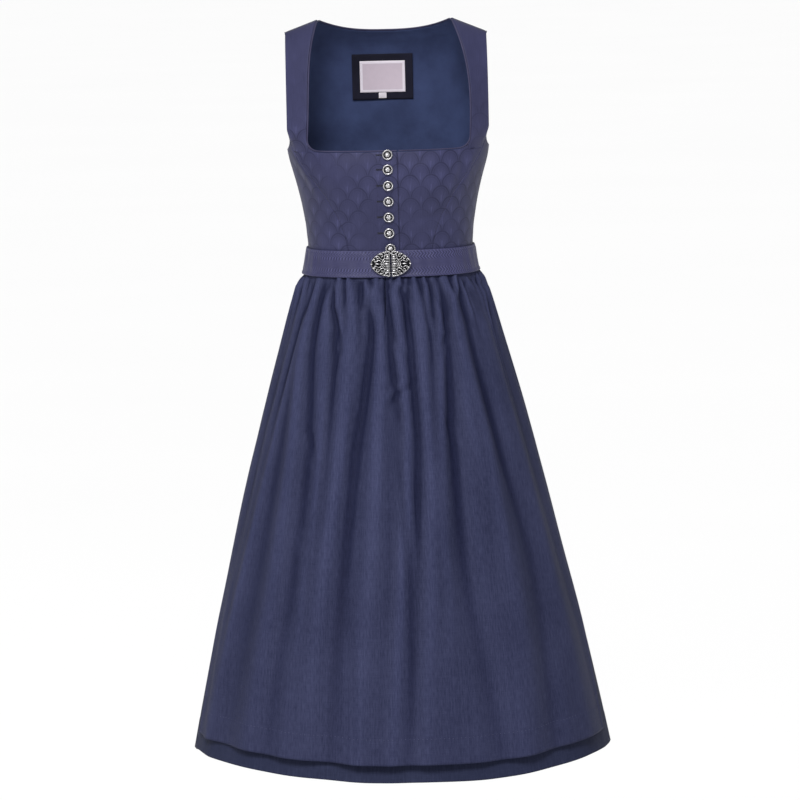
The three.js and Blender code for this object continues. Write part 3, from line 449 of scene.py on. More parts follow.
def near_path(x, z, path):
    """Distance from (x, z) to a path of points, and the share of the way along it."""
    best = np.full(np.shape(x), 1e9)
    share = np.zeros(np.shape(x))
    steps = len(path) - 1
    for i in range(steps):
        (x0, z0), (x1, z1) = path[i], path[i + 1]
        dx, dz = x1 - x0, z1 - z0
        t = np.clip(((x - x0) * dx + (z - z0) * dz) / (dx * dx + dz * dz), 0, 1)
        away = np.hypot(x - x0 - t * dx, z - z0 - t * dz)
        share = np.where(away < best, (i + t) / steps, share)
        best = np.minimum(best, away)
    return best, share


def crease_rise(x, z, rise, half_width, path):
    """A soft trough or ridge along a path, which fades out at both ends."""
    away, share = near_path(x, z, path)
    return rise * np.exp(-((away / half_width) ** 2)) * np.sin(np.pi * np.clip(share, 0.04, 0.96)) ** 0.6


def falling_rise(x, z, rise, half_width, path):
    """A gather that is sharpest at the band, and spreads and fades on its way down."""
    away, share = near_path(x, z, path)
    spread = half_width * (1 + 1.3 * share)
    return 1.9 * rise * np.exp(-((away / spread) ** 2)) * (1 - share) ** 0.6


def normals(grid):
    """Outward directions of length 1 at each point."""
    across = np.gradient(grid, axis=1)
    up = np.gradient(grid, axis=0)
    out = np.cross(across, up)
    return out / np.maximum(np.linalg.norm(out, axis=-1, keepdims=True), 1e-9)


def run_lengths(grid):
    """Distance along each row of a grid, from its first column."""
    steps = np.linalg.norm(np.diff(grid, axis=1), axis=-1)
    return np.concatenate([np.zeros((len(grid), 1)), np.cumsum(steps, axis=1)], axis=1)


# The body's surface under the bodice
def torso(angle, height):
    """Height is in mm from the bust line, along the cloth's rise to the shoulder."""
    angle, height = np.broadcast_arrays(np.asarray(angle, float), np.asarray(height, float))
    s = np.sin(angle * DEGREE)
    c = np.cos(angle * DEGREE)
    z = BUST_Z + np.minimum(height, 0)
    sizes = [column(BODICE_RINGS, name, z) for name in ("half", "front", "back")]
    base = ring_point(*sizes, angle, z, BOXINESS)
    across_bust = (np.abs(base[..., 0]) - FULL_X) / FULL_WIDTH
    down_bust = (z - FULL_Z) / FULL_HEIGHT
    fullness = np.where(c > 0, FULL_RISE * np.exp(-(across_bust**2) - down_bust**2), 0)
    base[..., 1] -= np.where(height <= 0, fullness * c, 0)

    level = np.clip(height / SHOULDER_RISE, 0, 1)
    half = BODICE_RINGS["half"][0]
    reach = np.abs(s) * (1 + BOXINESS * c * c)
    opened = ease(level / ARM_OPENED)
    neck_x = blend(half * NECK_EDGE, NECK_HALF, level**NECK_POWER)
    arm_x = blend(half * ARM_EDGE, SHOULDER_HALF, opened)
    across = (reach - NECK_EDGE) / (ARM_EDGE - NECK_EDGE)
    x = np.where(across > 0, blend(neck_x, arm_x, np.clip(across, 0, 1)), neck_x * reach / NECK_EDGE)
    x = x + np.where(across > 1, (reach - ARM_EDGE) * half * (1 - opened), 0)
    top_x = blend(NECK_HALF, SHOULDER_HALF, np.clip(across, 0, 1))
    top_z = NECK_Z - SHOULDER_SLOPE * (top_x - NECK_HALF)
    power = np.where(c > 0, CHEST_POWER, BACK_POWER)
    depth = np.sqrt(np.maximum(0, 1 - level**power))
    y = blend(SHOULDER_Y, base[..., 1], depth)
    above = np.stack([x * np.sign(s), y, blend(BUST_Z, top_z, level)], -1)
    return np.where((height > 0)[..., None], above, base)


def arm_angle(level, edge_angle):
    """Where the armhole's edge lies, at a share of the way up to the shoulder."""
    left = 1 - np.minimum(1, level / ARM_CURVE)
    return edge_angle + (90 - edge_angle) * (1 - np.sqrt(1 - left * left))


def arm_level(angle, edge_angle):
    """The share of the way up at which the armhole's edge has this angle."""
    share = np.clip(1 - (angle - edge_angle) / (90 - edge_angle), 0, 1)
    return ARM_CURVE * (1 - np.sqrt(1 - share * share))


def seam_gap(height):
    """What front and back each leave free for their seam, more at the shoulder."""
    return SEAM_GAP + SHOULDER_GAP * ease((np.asarray(height) / SHOULDER_RISE - 0.9) / 0.1)


def front_point(side, angle, height):
    """A point of the front: side +1 is the wearer's left, whose closing edge lies under."""
    point = torso(side * np.asarray(angle, float), height)
    lift = LAP_RAISE * (1 - ease((IN_BAND_Z - point[..., 2]) / IN_BAND_FADE))
    below = np.asarray(height) <= 0
    if side < 0:
        point[..., 1] -= np.where(below, lift * ease((point[..., 0] - LAP_END_X) / LAP_FADE), 0)
    else:
        sink = (LAP_STEP - lift) * ease((UNDERLAP_END_X - point[..., 0]) / LAP_FADE)
        point[..., 1] += np.where(below, sink, 0)
    point[..., 1] -= seam_gap(height)
    return point


def back_point(angle, height):
    """A point of the back, by angle and height over the bust line."""
    point = torso(angle, height)
    point[..., 1] += seam_gap(height)
    return point


def seam_angle(z):
    """Where the seam between front and side lies."""
    return column(PRINCESS_SEAM, "angle", z)


def closing_angle(side, z):
    """Where the closing edge of a front lies."""
    half = column(BODICE_RINGS, "half", z) * (1 + BOXINESS)
    return np.arcsin((-LAP_X if side < 0 else UNDERLAP_X) / half) / DEGREE


def strap_point(side, level, share):
    """A point of a strap: share 0 is its neck edge, and 1 its seam or armhole."""
    left = 1 - np.minimum(1, level / CORNER_RISE)
    neck = blend(CORNER_ANGLE, STRAP_ANGLE, np.sqrt(1 - left * left))
    on_seam = seam_angle(blend(BUST_Z, SEAM_TOP_Z, level))
    arm = np.where(level < ARM_START, on_seam, arm_angle(level, ARM_FRONT_ANGLE)) - SEAM_ANGLE_GAP
    point = front_point(side, blend(neck, arm, share), level * SHOULDER_RISE)
    point[..., 0] += NECK_SHIFT * np.sin(np.pi * level) * (1 - share)
    return point


def reach_at(angle):
    """How far across a ring a point lies, as a share of the ring's half."""
    s = np.abs(np.sin(angle * DEGREE))
    c = np.cos(angle * DEGREE)
    return s * (1 + BOXINESS * c * c)


def back_top(angle):
    """Height of the back's top edge over the bust line."""
    reach = np.minimum(1, reach_at(angle) / NECK_EDGE)
    return blend(BACK_NECK_Z, NECK_Z, reach**2.6) - BUST_Z


def rising(curve_rows, total_rows, curve_top):
    """Levels from 0 to 1, close together where an armhole or a corner turns."""
    turn = np.linspace(0, np.pi / 2, curve_rows)
    return np.concatenate([curve_top * (1 - np.cos(turn)), np.linspace(curve_top, 1, total_rows)[1:]])


def hollows(grid):
    """How deep each point lies between its neighbours along its row, in mm."""
    out = normals(grid)
    lengths = run_lengths(grid)
    total = np.zeros(grid.shape[:2])
    for reach in HOLLOW_REACHES:
        for row in range(len(grid)):
            along_row = lengths[row]
            for step in (-reach, reach):
                beside = [np.interp(along_row + step, along_row, axis) for axis in grid[row].T]
                total[row] += ((np.stack(beside, -1) - grid[row]) * out[row]).sum(-1) / 2
    return total / len(HOLLOW_REACHES)


# Making cloth from grids of points
def in_scene(name, data):
    """A new object of this data, linked into the scene."""
    made = bpy.data.objects.new(name, data)
    bpy.context.scene.collection.objects.link(made)
    return made


def clean_mesh(name, points, faces, uvs=None, hollow=None):
    """A mesh from points in mm, with the cloth's map and hollows where they are given. The hollows set where
    painted shade and painted highlight fall on the cloth.
    """
    mesh = bpy.data.meshes.new(name)
    mesh.from_pydata([tuple(point) for point in np.asarray(points) * MM], [], [tuple(face) for face in faces])
    if uvs is not None:
        layer = mesh.uv_layers.new(name="cloth")
        corners = np.array([corner for face in faces for corner in face])
        layer.data.foreach_set("uv", (np.asarray(uvs)[corners] * MM).ravel())
        depth = mesh.uv_layers.new(name="hollow")
        depth.data.foreach_set("uv", np.repeat(np.asarray(hollow)[corners], 2))
    return mesh


def pulled(points):
    """The wearer's right strap reaches a little higher and further out than the left."""
    points = np.array(points, float)
    level = ease((points[..., 2] + PULL_LENGTH) / PULL_LENGTH)
    across = np.clip((-points[..., 0] - NECK_HALF) / (SHOULDER_HALF - NECK_HALF), 0, 1)
    share = level * ease((-points[..., 0] - PULL_START) / (NECK_HALF - PULL_START))
    points[..., 0] -= share * PULL_OUT * (1 - across)
    points[..., 2] += share * blend(PULL_UP_NECK, PULL_UP_ARM, across)
    return points


def cloth(name, patches, wall, material, kept=None):
    """A thin shell from patches of outer points, each (grid, uv). Kept picks the first's faces."""
    points, uvs, faces, depths = [], [], [], []
    start = 0
    for number, (grid, uv) in enumerate(patches):
        depths.append(hollows(grid).ravel())
        rows, columns = grid.shape[:2]
        index = np.arange(rows * columns).reshape(rows, columns) + start
        quads = np.stack([index[:-1, :-1], index[:-1, 1:], index[1:, 1:], index[1:, :-1]], -1)
        if kept is not None and number == 0:
            quads = quads[kept]
        faces.extend(quads.reshape(-1, 4).tolist())
        points.append(pulled(grid).reshape(-1, 3))
        uvs.append(uv.reshape(-1, 2))
        start += rows * columns
    points, uvs, depths = map(np.concatenate, (points, uvs, depths))
    mesh = clean_mesh(name + "_outer", points, faces, uvs, depths)
    work = bmesh.new()
    work.from_mesh(mesh)
    bmesh.ops.remove_doubles(work, verts=work.verts, dist=0.00002)
    bmesh.ops.delete(work, geom=[v for v in work.verts if not v.link_faces], context="VERTS")
    work.to_mesh(mesh)
    work.free()
    shell = in_scene(name + "_shell", mesh)
    thickness = shell.modifiers.new("wall", "SOLIDIFY")
    thickness.thickness = wall * MM
    thickness.offset = -1
    thickness.use_rim = True
    return settle(name, shell, material)


def settle(name, source, material):
    """The evaluated object as one plain mesh under its final name."""
    bpy.context.view_layer.update()
    evaluated = source.evaluated_get(bpy.context.evaluated_depsgraph_get())
    mesh = bpy.data.meshes.new_from_object(evaluated)
    mesh.name = name
    mesh.materials.clear()
    mesh.materials.append(material)
    mesh.polygons.foreach_set("material_index", np.zeros(len(mesh.polygons), int))
    mesh.polygons.foreach_set("use_smooth", np.full(len(mesh.polygons), True))
    bpy.data.objects.remove(source)
    return in_scene(name, mesh)


def cut_of(grids):
    """Width, length and area of the cloth, in metres, as it is cut flat."""
    widths = [run_lengths(grid)[:, -1].max() + 2 * SEAM_TURN for grid in grids]
    lengths = [run_lengths(grid.swapaxes(0, 1))[:, -1].max() for grid in grids]
    area = 0
    for grid in grids:
        sides = np.cross(grid[1:, 1:] - grid[:-1, :-1], grid[1:, :-1] - grid[:-1, 1:])
        area += np.linalg.norm(sides, axis=-1).sum() / 2
    width, length = max(widths) * MM, (sum(lengths) + 2 * SEAM_TURN) * MM
    return (width, length), min(area * MM * MM, width * length)


def dress(piece, slot, *nodes):
    """Hands a piece to the frame; one that stands for a node gets its name from it."""
    if nodes:
        piece.name = f"{nodes[0]}_{'silver' if slot == 'silver' else 'cloth'}"
    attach(piece, "root")
    if nodes:
        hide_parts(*nodes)


# Materials: arithmetic on values makes their Math nodes
# Painted fold shade: how much bluer the painted shade in hollows is, and the hollow depth in mm at which
# painted shade and painted highlight are full
PAINTED_SHADE_TINT = (0.94, 0.98, 1.2)
PAINTED_SHADE_FULL = 2.2


class Value:
    """What one socket of a material gives."""

    def __init__(self, shader, socket):
        self.shader = shader
        self.socket = socket

    def __add__(self, other):
        return self.shader.math("ADD", self, other)

    def __sub__(self, other):
        return self.shader.math("SUBTRACT", self, other)

    def __rsub__(self, other):
        return self.shader.math("SUBTRACT", other, self)

    def __mul__(self, other):
        return self.shader.math("MULTIPLY", self, other)

    def __truediv__(self, other):
        return self.shader.math("DIVIDE", self, other)

    def __abs__(self):
        return self.shader.math("ABSOLUTE", self)

    __radd__ = __add__
    __rmul__ = __mul__


class Shader:
    """One material, whose nodes are made by short calls."""

    def __init__(self, name):
        self.material = bpy.data.materials.new(name)
        self.material.use_nodes = True
        self.tree = self.material.node_tree
        self.bsdf = self.tree.nodes["Principled BSDF"]

    def feed(self, socket, value):
        if isinstance(value, Value):
            self.tree.links.new(value.socket, socket)
        else:
            socket.default_value = value

    def node(self, kind, inputs=(), output=0, **settings):
        made = self.tree.nodes.new(kind)
        for name, value in settings.items():
            setattr(made, name, value)
        for key, value in dict(inputs).items():
            self.feed(made.inputs[key], value)
        return Value(self, made.outputs[output])

    def math(self, operation, *values):
        return self.node("ShaderNodeMath", dict(enumerate(values)), operation=operation)

    def parts(self, vector):
        """The three numbers of a vector."""
        split = self.tree.nodes.new("ShaderNodeSeparateXYZ")
        self.feed(split.inputs[0], vector)
        return [Value(self, number) for number in split.outputs]

    def on_cloth(self):
        """The piece's own cloth map, and the ways across and up on it."""
        flat = self.node("ShaderNodeUVMap", uv_map="cloth")
        across, up, _ = self.parts(flat)
        return flat, across, up

    def in_object(self):
        return self.node("ShaderNodeTexCoord", output="Object")

    def noise(self, vector, scale, detail=2, roughness=0.5):
        made = {"Vector": vector, "Scale": scale, "Detail": detail, "Roughness": roughness}
        return self.node("ShaderNodeTexNoise", made, output="Fac")

    def yarns(self, vector, scale, detail, roughness=0.5):
        """Noise drawn out by its own scale for each axis."""
        drawn = self.node("ShaderNodeMapping", {"Vector": vector, "Scale": scale})
        return self.noise(drawn, 1, detail, roughness)

    def waves(self, distance, pitch):
        return self.math("SINE", distance * (2 * math.pi / pitch))

    def remap(self, value, low, high, to_low=0.0, to_high=1.0):
        made = {0: value, 1: low, 2: high, 3: to_low, 4: to_high}
        return self.node("ShaderNodeMapRange", made, interpolation_type="SMOOTHSTEP")

    def between(self, value, low, full, fading, gone):
        """Rises from 0 to 1 over the first two, and falls back over the last two."""
        return self.remap(value, low, full) * self.remap(value, fading, gone, 1.0, 0.0)

    def mix(self, share, first, second, kind="MIX"):
        made = {0: share, 6: first, 7: second}
        return self.node("ShaderNodeMix", made, output=2, data_type="RGBA", blend_type=kind)

    def painted_fold_shade(self, colour, deep, high):
        """Painted shade: cloth is darkened and blued deep between folds, and a painted highlight lightens
        their crests.
        """
        depth = self.parts(self.node("ShaderNodeUVMap", uv_map="hollow"))[0]
        hollow = [deep * share for share in PAINTED_SHADE_TINT]
        # Painted shade: the colour is multiplied down toward deep, tinted bluer, where the cloth lies deepest
        # between folds
        painted_valley_shade = self.mix(self.remap(depth, 0.0, PAINTED_SHADE_FULL), (1, 1, 1, 1), (*hollow, 1))
        # Painted highlight: on crests the colour is multiplied up toward high
        crest = self.remap(depth, -PAINTED_SHADE_FULL, 0.0, high, 1.0)
        return self.mix(1.0, self.mix(1.0, colour, painted_valley_shade, "MULTIPLY"), crest, "MULTIPLY")

    def bump(self, height, distance, strength):
        made = {"Height": height, "Distance": distance, "Strength": strength}
        return self.node("ShaderNodeBump", made)

    def finish(self, colour, normal=None, **values):
        """Values are named as the sockets are, in small letters with underlines."""
        self.feed(self.bsdf.inputs["Base Color"], colour)
        if normal is not None:
            self.feed(self.bsdf.inputs["Normal"], normal)
        for name, value in values.items():
            title = name.replace("_", " ").title().replace("Ior", "IOR")
            self.feed(self.bsdf.inputs[title], value)
        return self.material


def tint(red, green, blue):
    """A colour of 0 to 255 as linear light."""
    shares = [channel / 255 for channel in (red, green, blue)]
    light = [x / 12.92 if x <= 0.04045 else ((x + 0.055) / 1.055) ** 2.4 for x in shares]
    return (*light, 1)


# Weaves. Pitches and depths are metres; a noise's scale is waves for each metre
SCALE_WIDTH = 0.0315
SCALE_RISE = 0.0205
SCALE_DROP = 0.0175
SCALE_WAVER = 0.0022
RIB_PITCH = 0.0011
STRAP_FADE = (-0.13, -0.08)
CHEVRON_ROW = 0.0042
CHEVRON_PITCH = 0.0048
BAND_MIDDLE = 0.0198


def twill_cloth(name, shade, light, pitch, slub, roughness):
    """Fine twill: diagonal lines, long uneven yarns and a slow change of shade."""
    s = Shader(name)
    flat, across, up = s.on_cloth()
    line = s.waves(across + up * 0.95, pitch)
    long_yarns = s.yarns(flat, (640, 70, 1), 3, 0.65)
    cross_yarns = s.yarns(flat, (40, 1300, 1), 2)
    streaks = s.yarns(flat, (380, 3.5, 1), 3, 0.6)
    patches = s.noise(flat, 9, 3, 0.55)
    fleck = long_yarns * slub + (cross_yarns + streaks + patches) * 0.3 + line * 0.09
    # Painted shade in the hollows of folds, down to 0.45, and painted highlight on their crests, up to 1.3
    colour = s.painted_fold_shade(s.mix(s.remap(fleck, 0.5, 1.15), shade, light), 0.45, 1.3)
    normal = s.bump(line * 0.5 + long_yarns * 0.8, 0.00012, 0.6)
    return s.finish(colour, normal, roughness=roughness, specular_ior_level=0.05)


def scallop(s, across, up):
    """Fish scales: how far out a point lies in its own scale, and its place in it."""
    row = s.math("FLOOR", up / SCALE_DROP)
    scales = []
    for step in (1, 0, -1):
        here = row + step
        shift = s.math("FLOORED_MODULO", here, 2.0) * 0.5
        dx = (s.math("FRACT", across / SCALE_WIDTH + shift) - 0.5) * 2.0
        dy = (up / SCALE_DROP - here) * (SCALE_DROP / SCALE_RISE)
        out = s.math("SQRT", dx * dx + dy * dy)
        scales.append((out, dx, dy))
    found = scales[0]
    for scale in scales[1:]:
        inside = s.math("LESS_THAN", scale[0], 1.0)
        found = [inside * new + (1.0 - inside) * old for new, old in zip(scale, found)]
    return found


def jacquard_cloth(name, shade, light):
    """Tone-on-tone jacquard: overlapping scallops with fans and small sprigs."""
    s = Shader(name)
    flat, across, up = s.on_cloth()
    out, dx, dy = scallop(s, across + (s.noise(flat, 60) - 0.5) * SCALE_WAVER, up)
    arc = s.between(out, 0.84, 0.93, 0.94, 1.0)
    inner_arc = s.between(out, 0.7, 0.76, 0.76, 0.82)
    rays = s.math("SINE", s.math("ARCTAN2", dx, dy + 0.42) * 15.0)
    fan = (rays * 0.35 + 0.75) * s.remap(out, 0.1, 0.75, 1.0, 0.0) * s.remap(dy, -0.5, 0.1)
    sprig = s.remap(abs(dx), 0.02, 0.09, 1.0, 0.0) * s.between(dy, -0.35, -0.1, 0.12, 0.3)
    worn = s.remap(s.noise(flat, 16), 0.36, 0.6, 0.15, 1.15)
    on_straps = s.remap(s.parts(s.in_object())[2], *STRAP_FADE, 1.0, 0.12)
    pattern = (fan * 0.3 - arc * 0.5 + sprig * 0.75 - inner_arc * 0.18) * worn * on_straps
    fine_yarns = s.yarns(flat, (1300, 40, 1), 2, 0.6)
    patches = s.noise(flat, 12, 3)
    tone = pattern * 0.62 + (patches - 0.5) * 0.5 + (fine_yarns - 0.5) * 0.4 + 0.45
    # Painted shade in the hollows of creases, down to 0.6, and painted highlight on their crests, up to 1.2
    colour = s.painted_fold_shade(s.mix(s.remap(tone, 0.0, 1.0), shade, light), 0.6, 1.2)
    height = pattern * 0.25 + s.waves(up, RIB_PITCH) * 0.12 + fine_yarns * 0.3
    return s.finish(colour, s.bump(height, 0.00022, 0.55), roughness=s.remap(pattern, -0.5, 0.5, 0.62, 0.55),
                    sheen_weight=0.03, sheen_roughness=0.4, specular_ior_level=0.2)


def herringbone_cloth(name, shade, light):
    """Band cloth: chevrons that run along the band in rows, with plain twill between."""
    s = Shader(name)
    flat, along_band, up = s.on_cloth()
    zigzag = along_band + s.math("PINGPONG", up, CHEVRON_ROW)
    fine = s.waves(zigzag, 0.0012)
    away = abs(up - BAND_MIDDLE)
    worn = s.remap(s.yarns(flat, (38, 60, 1), 2), 0.35, 0.6, 0.35, 1.0)
    clear = s.remap(away, 0.004, 0.0085) * s.remap(away, 0.0155, 0.0185, 1.0, 0.3) * worn
    chevrons = s.waves(zigzag, CHEVRON_PITCH) * clear
    slant = s.remap(s.waves(along_band + up * 0.8, 0.0058), 0.2, 0.9)
    rim_bars = slant * s.between(up, 0.0352, 0.0362, 0.0382, 0.0392)
    fine_yarns = s.yarns(flat, (60, 1300, 1), 2, 0.6)
    patches = s.noise(flat, 16, 3)
    tone = chevrons * 0.6 + rim_bars * 0.5 + fine * 0.06 + 0.42
    tone = tone + (patches - 0.5) * 0.6 + (fine_yarns - 0.5) * 0.35
    colour = s.mix(s.remap(tone, 0.0, 1.0), shade, light)
    normal = s.bump(chevrons * 0.8 + fine * 0.3 + fine_yarns, 0.00016, 0.6)
    return s.finish(colour, normal, roughness=0.52, sheen_weight=0.03, sheen_roughness=0.4,
                    specular_ior_level=0.28)


def plain_cloth(name, shade, light, weave, roughness, sheen, mapped=True):
    """Plain weave with a slow mottle."""
    s = Shader(name)
    if mapped:
        source, across, up = s.on_cloth()
    else:
        source = s.in_object()
        across, _, up = s.parts(source)
    checks = s.waves(across, weave) * s.waves(up, weave)
    mottle = s.noise(source, 22, 4, 0.6)
    tone = mottle * 0.5 + s.noise(source, 6) * 0.35 + checks * 0.05 + 0.17
    colour = s.mix(s.remap(tone, 0.35, 0.85), shade, light)
    normal = s.bump(checks + mottle * 2.0, 0.00015, 0.5)
    return s.finish(colour, normal, roughness=roughness, sheen_weight=sheen, specular_ior_level=0.2)


def label_cloth(name, field, border, width, height, margin):
    """Woven satin label: a tinted field inside a pale border."""
    s = Shader(name)
    flat, across, up = s.on_cloth()
    from_edge = s.math("MINIMUM", width / 2 - abs(across), height / 2 - abs(up))
    inside = s.remap(from_edge, margin - 0.0003, margin + 0.0003)
    mottle = s.noise(flat, 120, 3)
    colour = s.mix(mottle * 0.22, s.mix(inside, border, field), tint(150, 140, 156))
    normal = s.bump(s.waves(up, 0.0006) + mottle, 0.00008, 0.5)
    return s.finish(colour, normal, roughness=0.5, sheen_weight=0.15, specular_ior_level=0.4)


def old_silver(name):
    """Silver with worn high places and dark hollows, by each point's own height."""
    s = Shader(name)
    place = s.in_object()
    spots = s.noise(place, 900, 3, 0.6)
    scuffs = s.yarns(place, (2200, 2200, 500), 2)
    worn = s.node("ShaderNodeAttribute", output="Fac", attribute_name="worn") + (spots - 0.5) * 0.14
    colour = s.mix(s.remap(worn, 0.1, 0.8), tint(24, 24, 28), tint(196, 195, 197))
    normal = s.bump(spots + scuffs, 0.00004, 0.2)
    return s.finish(colour, normal, roughness=s.remap(worn, 0.2, 0.9, 0.6, 0.3), metallic=1.0)


def thread_finish(name, colour):
    s = Shader(name)
    twist = s.noise(s.in_object(), 2600, 1)
    shade = s.mix(twist * 0.5, colour, tint(20, 20, 36))
    return s.finish(shade, s.bump(twist, 0.00005, 0.5), roughness=0.5, sheen_weight=0.05)


def floor_finish(name):
    s = Shader(name)
    paper = s.mix(s.noise(s.in_object(), 0.6), (0.97, 0.97, 0.97, 1), (0.99, 0.99, 0.99, 1))
    return s.finish(paper, roughness=0.9)


JACQUARD = jacquard_cloth("jacquard", tint(35, 36, 62), tint(61, 62, 96))
APRON = twill_cloth("apron_cloth", tint(33, 36, 59), tint(55, 58, 84), 0.0011, 0.75, 0.6)
SKIRT = twill_cloth("skirt_cloth", tint(31, 35, 55), tint(50, 54, 78), 0.0009, 0.6, 0.65)
BAND = herringbone_cloth("band_cloth", tint(37, 37, 67), tint(69, 69, 106))
LINING = plain_cloth("lining", tint(36, 45, 76), tint(56, 68, 106), 0.0009, 0.75, 0.02)
PATCH = plain_cloth("patch", tint(14, 14, 27), tint(27, 27, 44), 0.0012, 0.9, 0.03)
PIPING = plain_cloth("piping", tint(42, 41, 68), tint(70, 68, 96), 0.0016, 0.65, 0.03, mapped=False)
LABEL = label_cloth("label", tint(199, 185, 197), tint(227, 219, 229), 0.071, 0.050, 0.0042)
TAB = label_cloth("size_tab", tint(214, 208, 216), tint(228, 224, 230), 0.012, 0.009, 0.0008)
SILVER = old_silver("silver")
THREAD = thread_finish("thread", tint(78, 78, 114))
DARK_THREAD = thread_finish("dark_thread", tint(26, 27, 48))


# Bodice
FRONT_COLUMNS = 64
STRAP_COLUMNS = 26
BODY_ROWS = 92
STRAP_ROWS = 84
UV_RAISE = 160


def bodice_creases(side, point):
    """How far the front's creases rise, with small pulls near the band."""
    total = np.zeros(point.shape[:-1])
    for where, rise, half_width, path in BODICE_CREASES:
        if where == side:
            total += crease_rise(point[..., 0], point[..., 2], rise, half_width, path)
    pull = np.sin(point[..., 2] / 7.5 + point[..., 0] / 34) * 0.22
    return total + pull * ease((-240 - point[..., 2]) / 40)


def sunk_seams(grid, left=0.0, right=0.0, top=0.0):
    """The cloth turns in where it meets a seam."""
    lengths = run_lengths(grid)
    risen = run_lengths(grid.swapaxes(0, 1)).swapaxes(0, 1)
    seams = ((left, lengths), (right, lengths[:, -1:] - lengths), (top, risen[-1:] - risen))
    sink = sum(share * SEAM_SINK * np.exp(-((away / SEAM_WIDTH) ** 2)) for share, away in seams)
    return grid - normals(grid) * sink[..., None]


def front_uv(grid, side):
    """The cloth's map: length across, from where the closing edge lies, and height."""
    lengths = run_lengths(grid)
    first = grid[:, :1, 0] if side > 0 else grid[:, -1:, 0] - lengths[:, -1:]
    return np.stack([first + lengths, grid[..., 2] + UV_RAISE], -1)


def turned(grid, side):
    """Columns run toward the wearer's left on both sides, so that normals point outward."""
    return grid if side > 0 else grid[:, ::-1]


def bodice_front(side, name):
    """One front: the body part, and the strap that grows from its outer columns."""
    heights = np.linspace(BODICE_BOTTOM_Z, BUST_Z, BODY_ROWS)[:, None]
    corner = blend(closing_angle(side, heights), seam_angle(heights), 0.6)
    corner = blend(corner, CORNER_ANGLE, ease((heights - BUST_Z + 60) / 60))
    shares = np.linspace(0, 1, FRONT_COLUMNS)[None]
    strap_shares = np.linspace(0, 1, STRAP_COLUMNS)[None]
    inner = blend(closing_angle(side, heights), corner, shares)
    outer = blend(corner, seam_angle(heights) - SEAM_ANGLE_GAP, strap_shares)
    angles = np.concatenate([inner, outer[:, 1:]], axis=1)
    body = front_point(side, angles, heights - BUST_Z)

    levels = rising(22, STRAP_ROWS, CORNER_RISE)[:, None]
    strap = strap_point(side, levels, strap_shares)

    front, strap = (turned(grid, side) for grid in (body, strap))
    front = front + normals(front) * bodice_creases(side, front)[..., None]
    strap = strap + normals(strap) * bodice_creases(side, strap)[..., None]
    beside = slice(-STRAP_COLUMNS, None) if side > 0 else slice(0, STRAP_COLUMNS)
    strip = np.concatenate([front[:-1, beside], strap])
    strip = sunk_seams(strip, left=float(side < 0), right=float(side > 0), top=1.0)
    front[:, beside] = strip[:BODY_ROWS]
    strap = strip[BODY_ROWS - 1:]
    uv = front_uv(front, side)
    neck = 0 if side > 0 else -1
    strap_x = strap[..., 0] - strap[0, neck, 0] + uv[-1, beside][neck, 0]
    strap_uv = np.stack([strap_x, strap[..., 2] + UV_RAISE], -1)
    piece = cloth(name, [(front, uv), (strap, strap_uv)], BODICE_WALL, JACQUARD)
    flat, area = cut_of([front, strap])
    dress(piece, "jacquard", name)


def bodice_side(side, name):
    shares = np.linspace(0, 1, 34)[None]
    heights = np.linspace(BODICE_BOTTOM_Z - BUST_Z, 0, 70)[:, None]
    below = heights - 9 * shares * ease((heights + 40) / 40)
    angles = blend(seam_angle(heights + BUST_Z) + SEAM_ANGLE_GAP, 90, shares)
    seam_top = arm_angle(ARM_START, ARM_FRONT_ANGLE) + SEAM_ANGLE_GAP
    top_angles = blend(seam_top, 90, shares)
    top_heights = arm_level(top_angles, ARM_FRONT_ANGLE) * SHOULDER_RISE
    rise = np.linspace(0, 1, 14)[1:, None]
    angles = np.concatenate([angles, blend(angles[-1:], top_angles, rise)])
    below = np.concatenate([below, blend(below[-1:], top_heights, rise)])
    grid = turned(front_point(side, angles, below), side)
    grid = grid + normals(grid) * bodice_creases(side, grid)[..., None]
    grid = sunk_seams(grid, left=1.0, right=1.0, top=0.5)
    uv = front_uv(grid, side)
    piece = cloth(name, [(grid, uv)], BODICE_WALL, JACQUARD)
    flat, area = cut_of([grid])
    dress(piece, "jacquard", name)


def back_grid(edge_inset, bottom, body_edge, strap_columns, middle_columns, rows_below, rows_above):
    """Points of a back from side seam to side seam, and up to the shoulder seams."""
    heights = np.linspace(bottom, BUST_Z, rows_below)[:, None] - BUST_Z
    levels = rising(20, rows_above, ARM_CURVE)[:, None]
    edges_above = arm_angle(levels, ARM_BACK_ANGLE) - edge_inset

    def angles(edge):
        strap = 180 - blend(edge, STRAP_ANGLE, np.arange(strap_columns)[None] / strap_columns)
        middle = 180 + np.linspace(-STRAP_ANGLE, STRAP_ANGLE, middle_columns)[None]
        middle = np.broadcast_to(middle, (len(edge), middle_columns))
        return np.concatenate([strap, middle, 360 - strap[:, ::-1]], axis=1)

    below = angles(blend(body_edge, edges_above[:1], ease((heights + 30) / 30)))
    above = angles(edges_above)
    lower = back_point(below, heights)
    upper = back_point(above, levels * back_top(above))
    return np.concatenate([lower[:-1], upper])


def back_creases(grid):
    """Small pulls over the band, and the fullness over the shoulder blades."""
    x, z = grid[..., 0], grid[..., 2]
    pull = 0.5 * np.sin(z / 9 + np.abs(x) / 26) * ease((-232 - z) / 60)
    blades = 1.2 * np.exp(-(((np.abs(x) - 62) / 34) ** 2) - ((z + 84) / 52) ** 2)
    return pull + blades


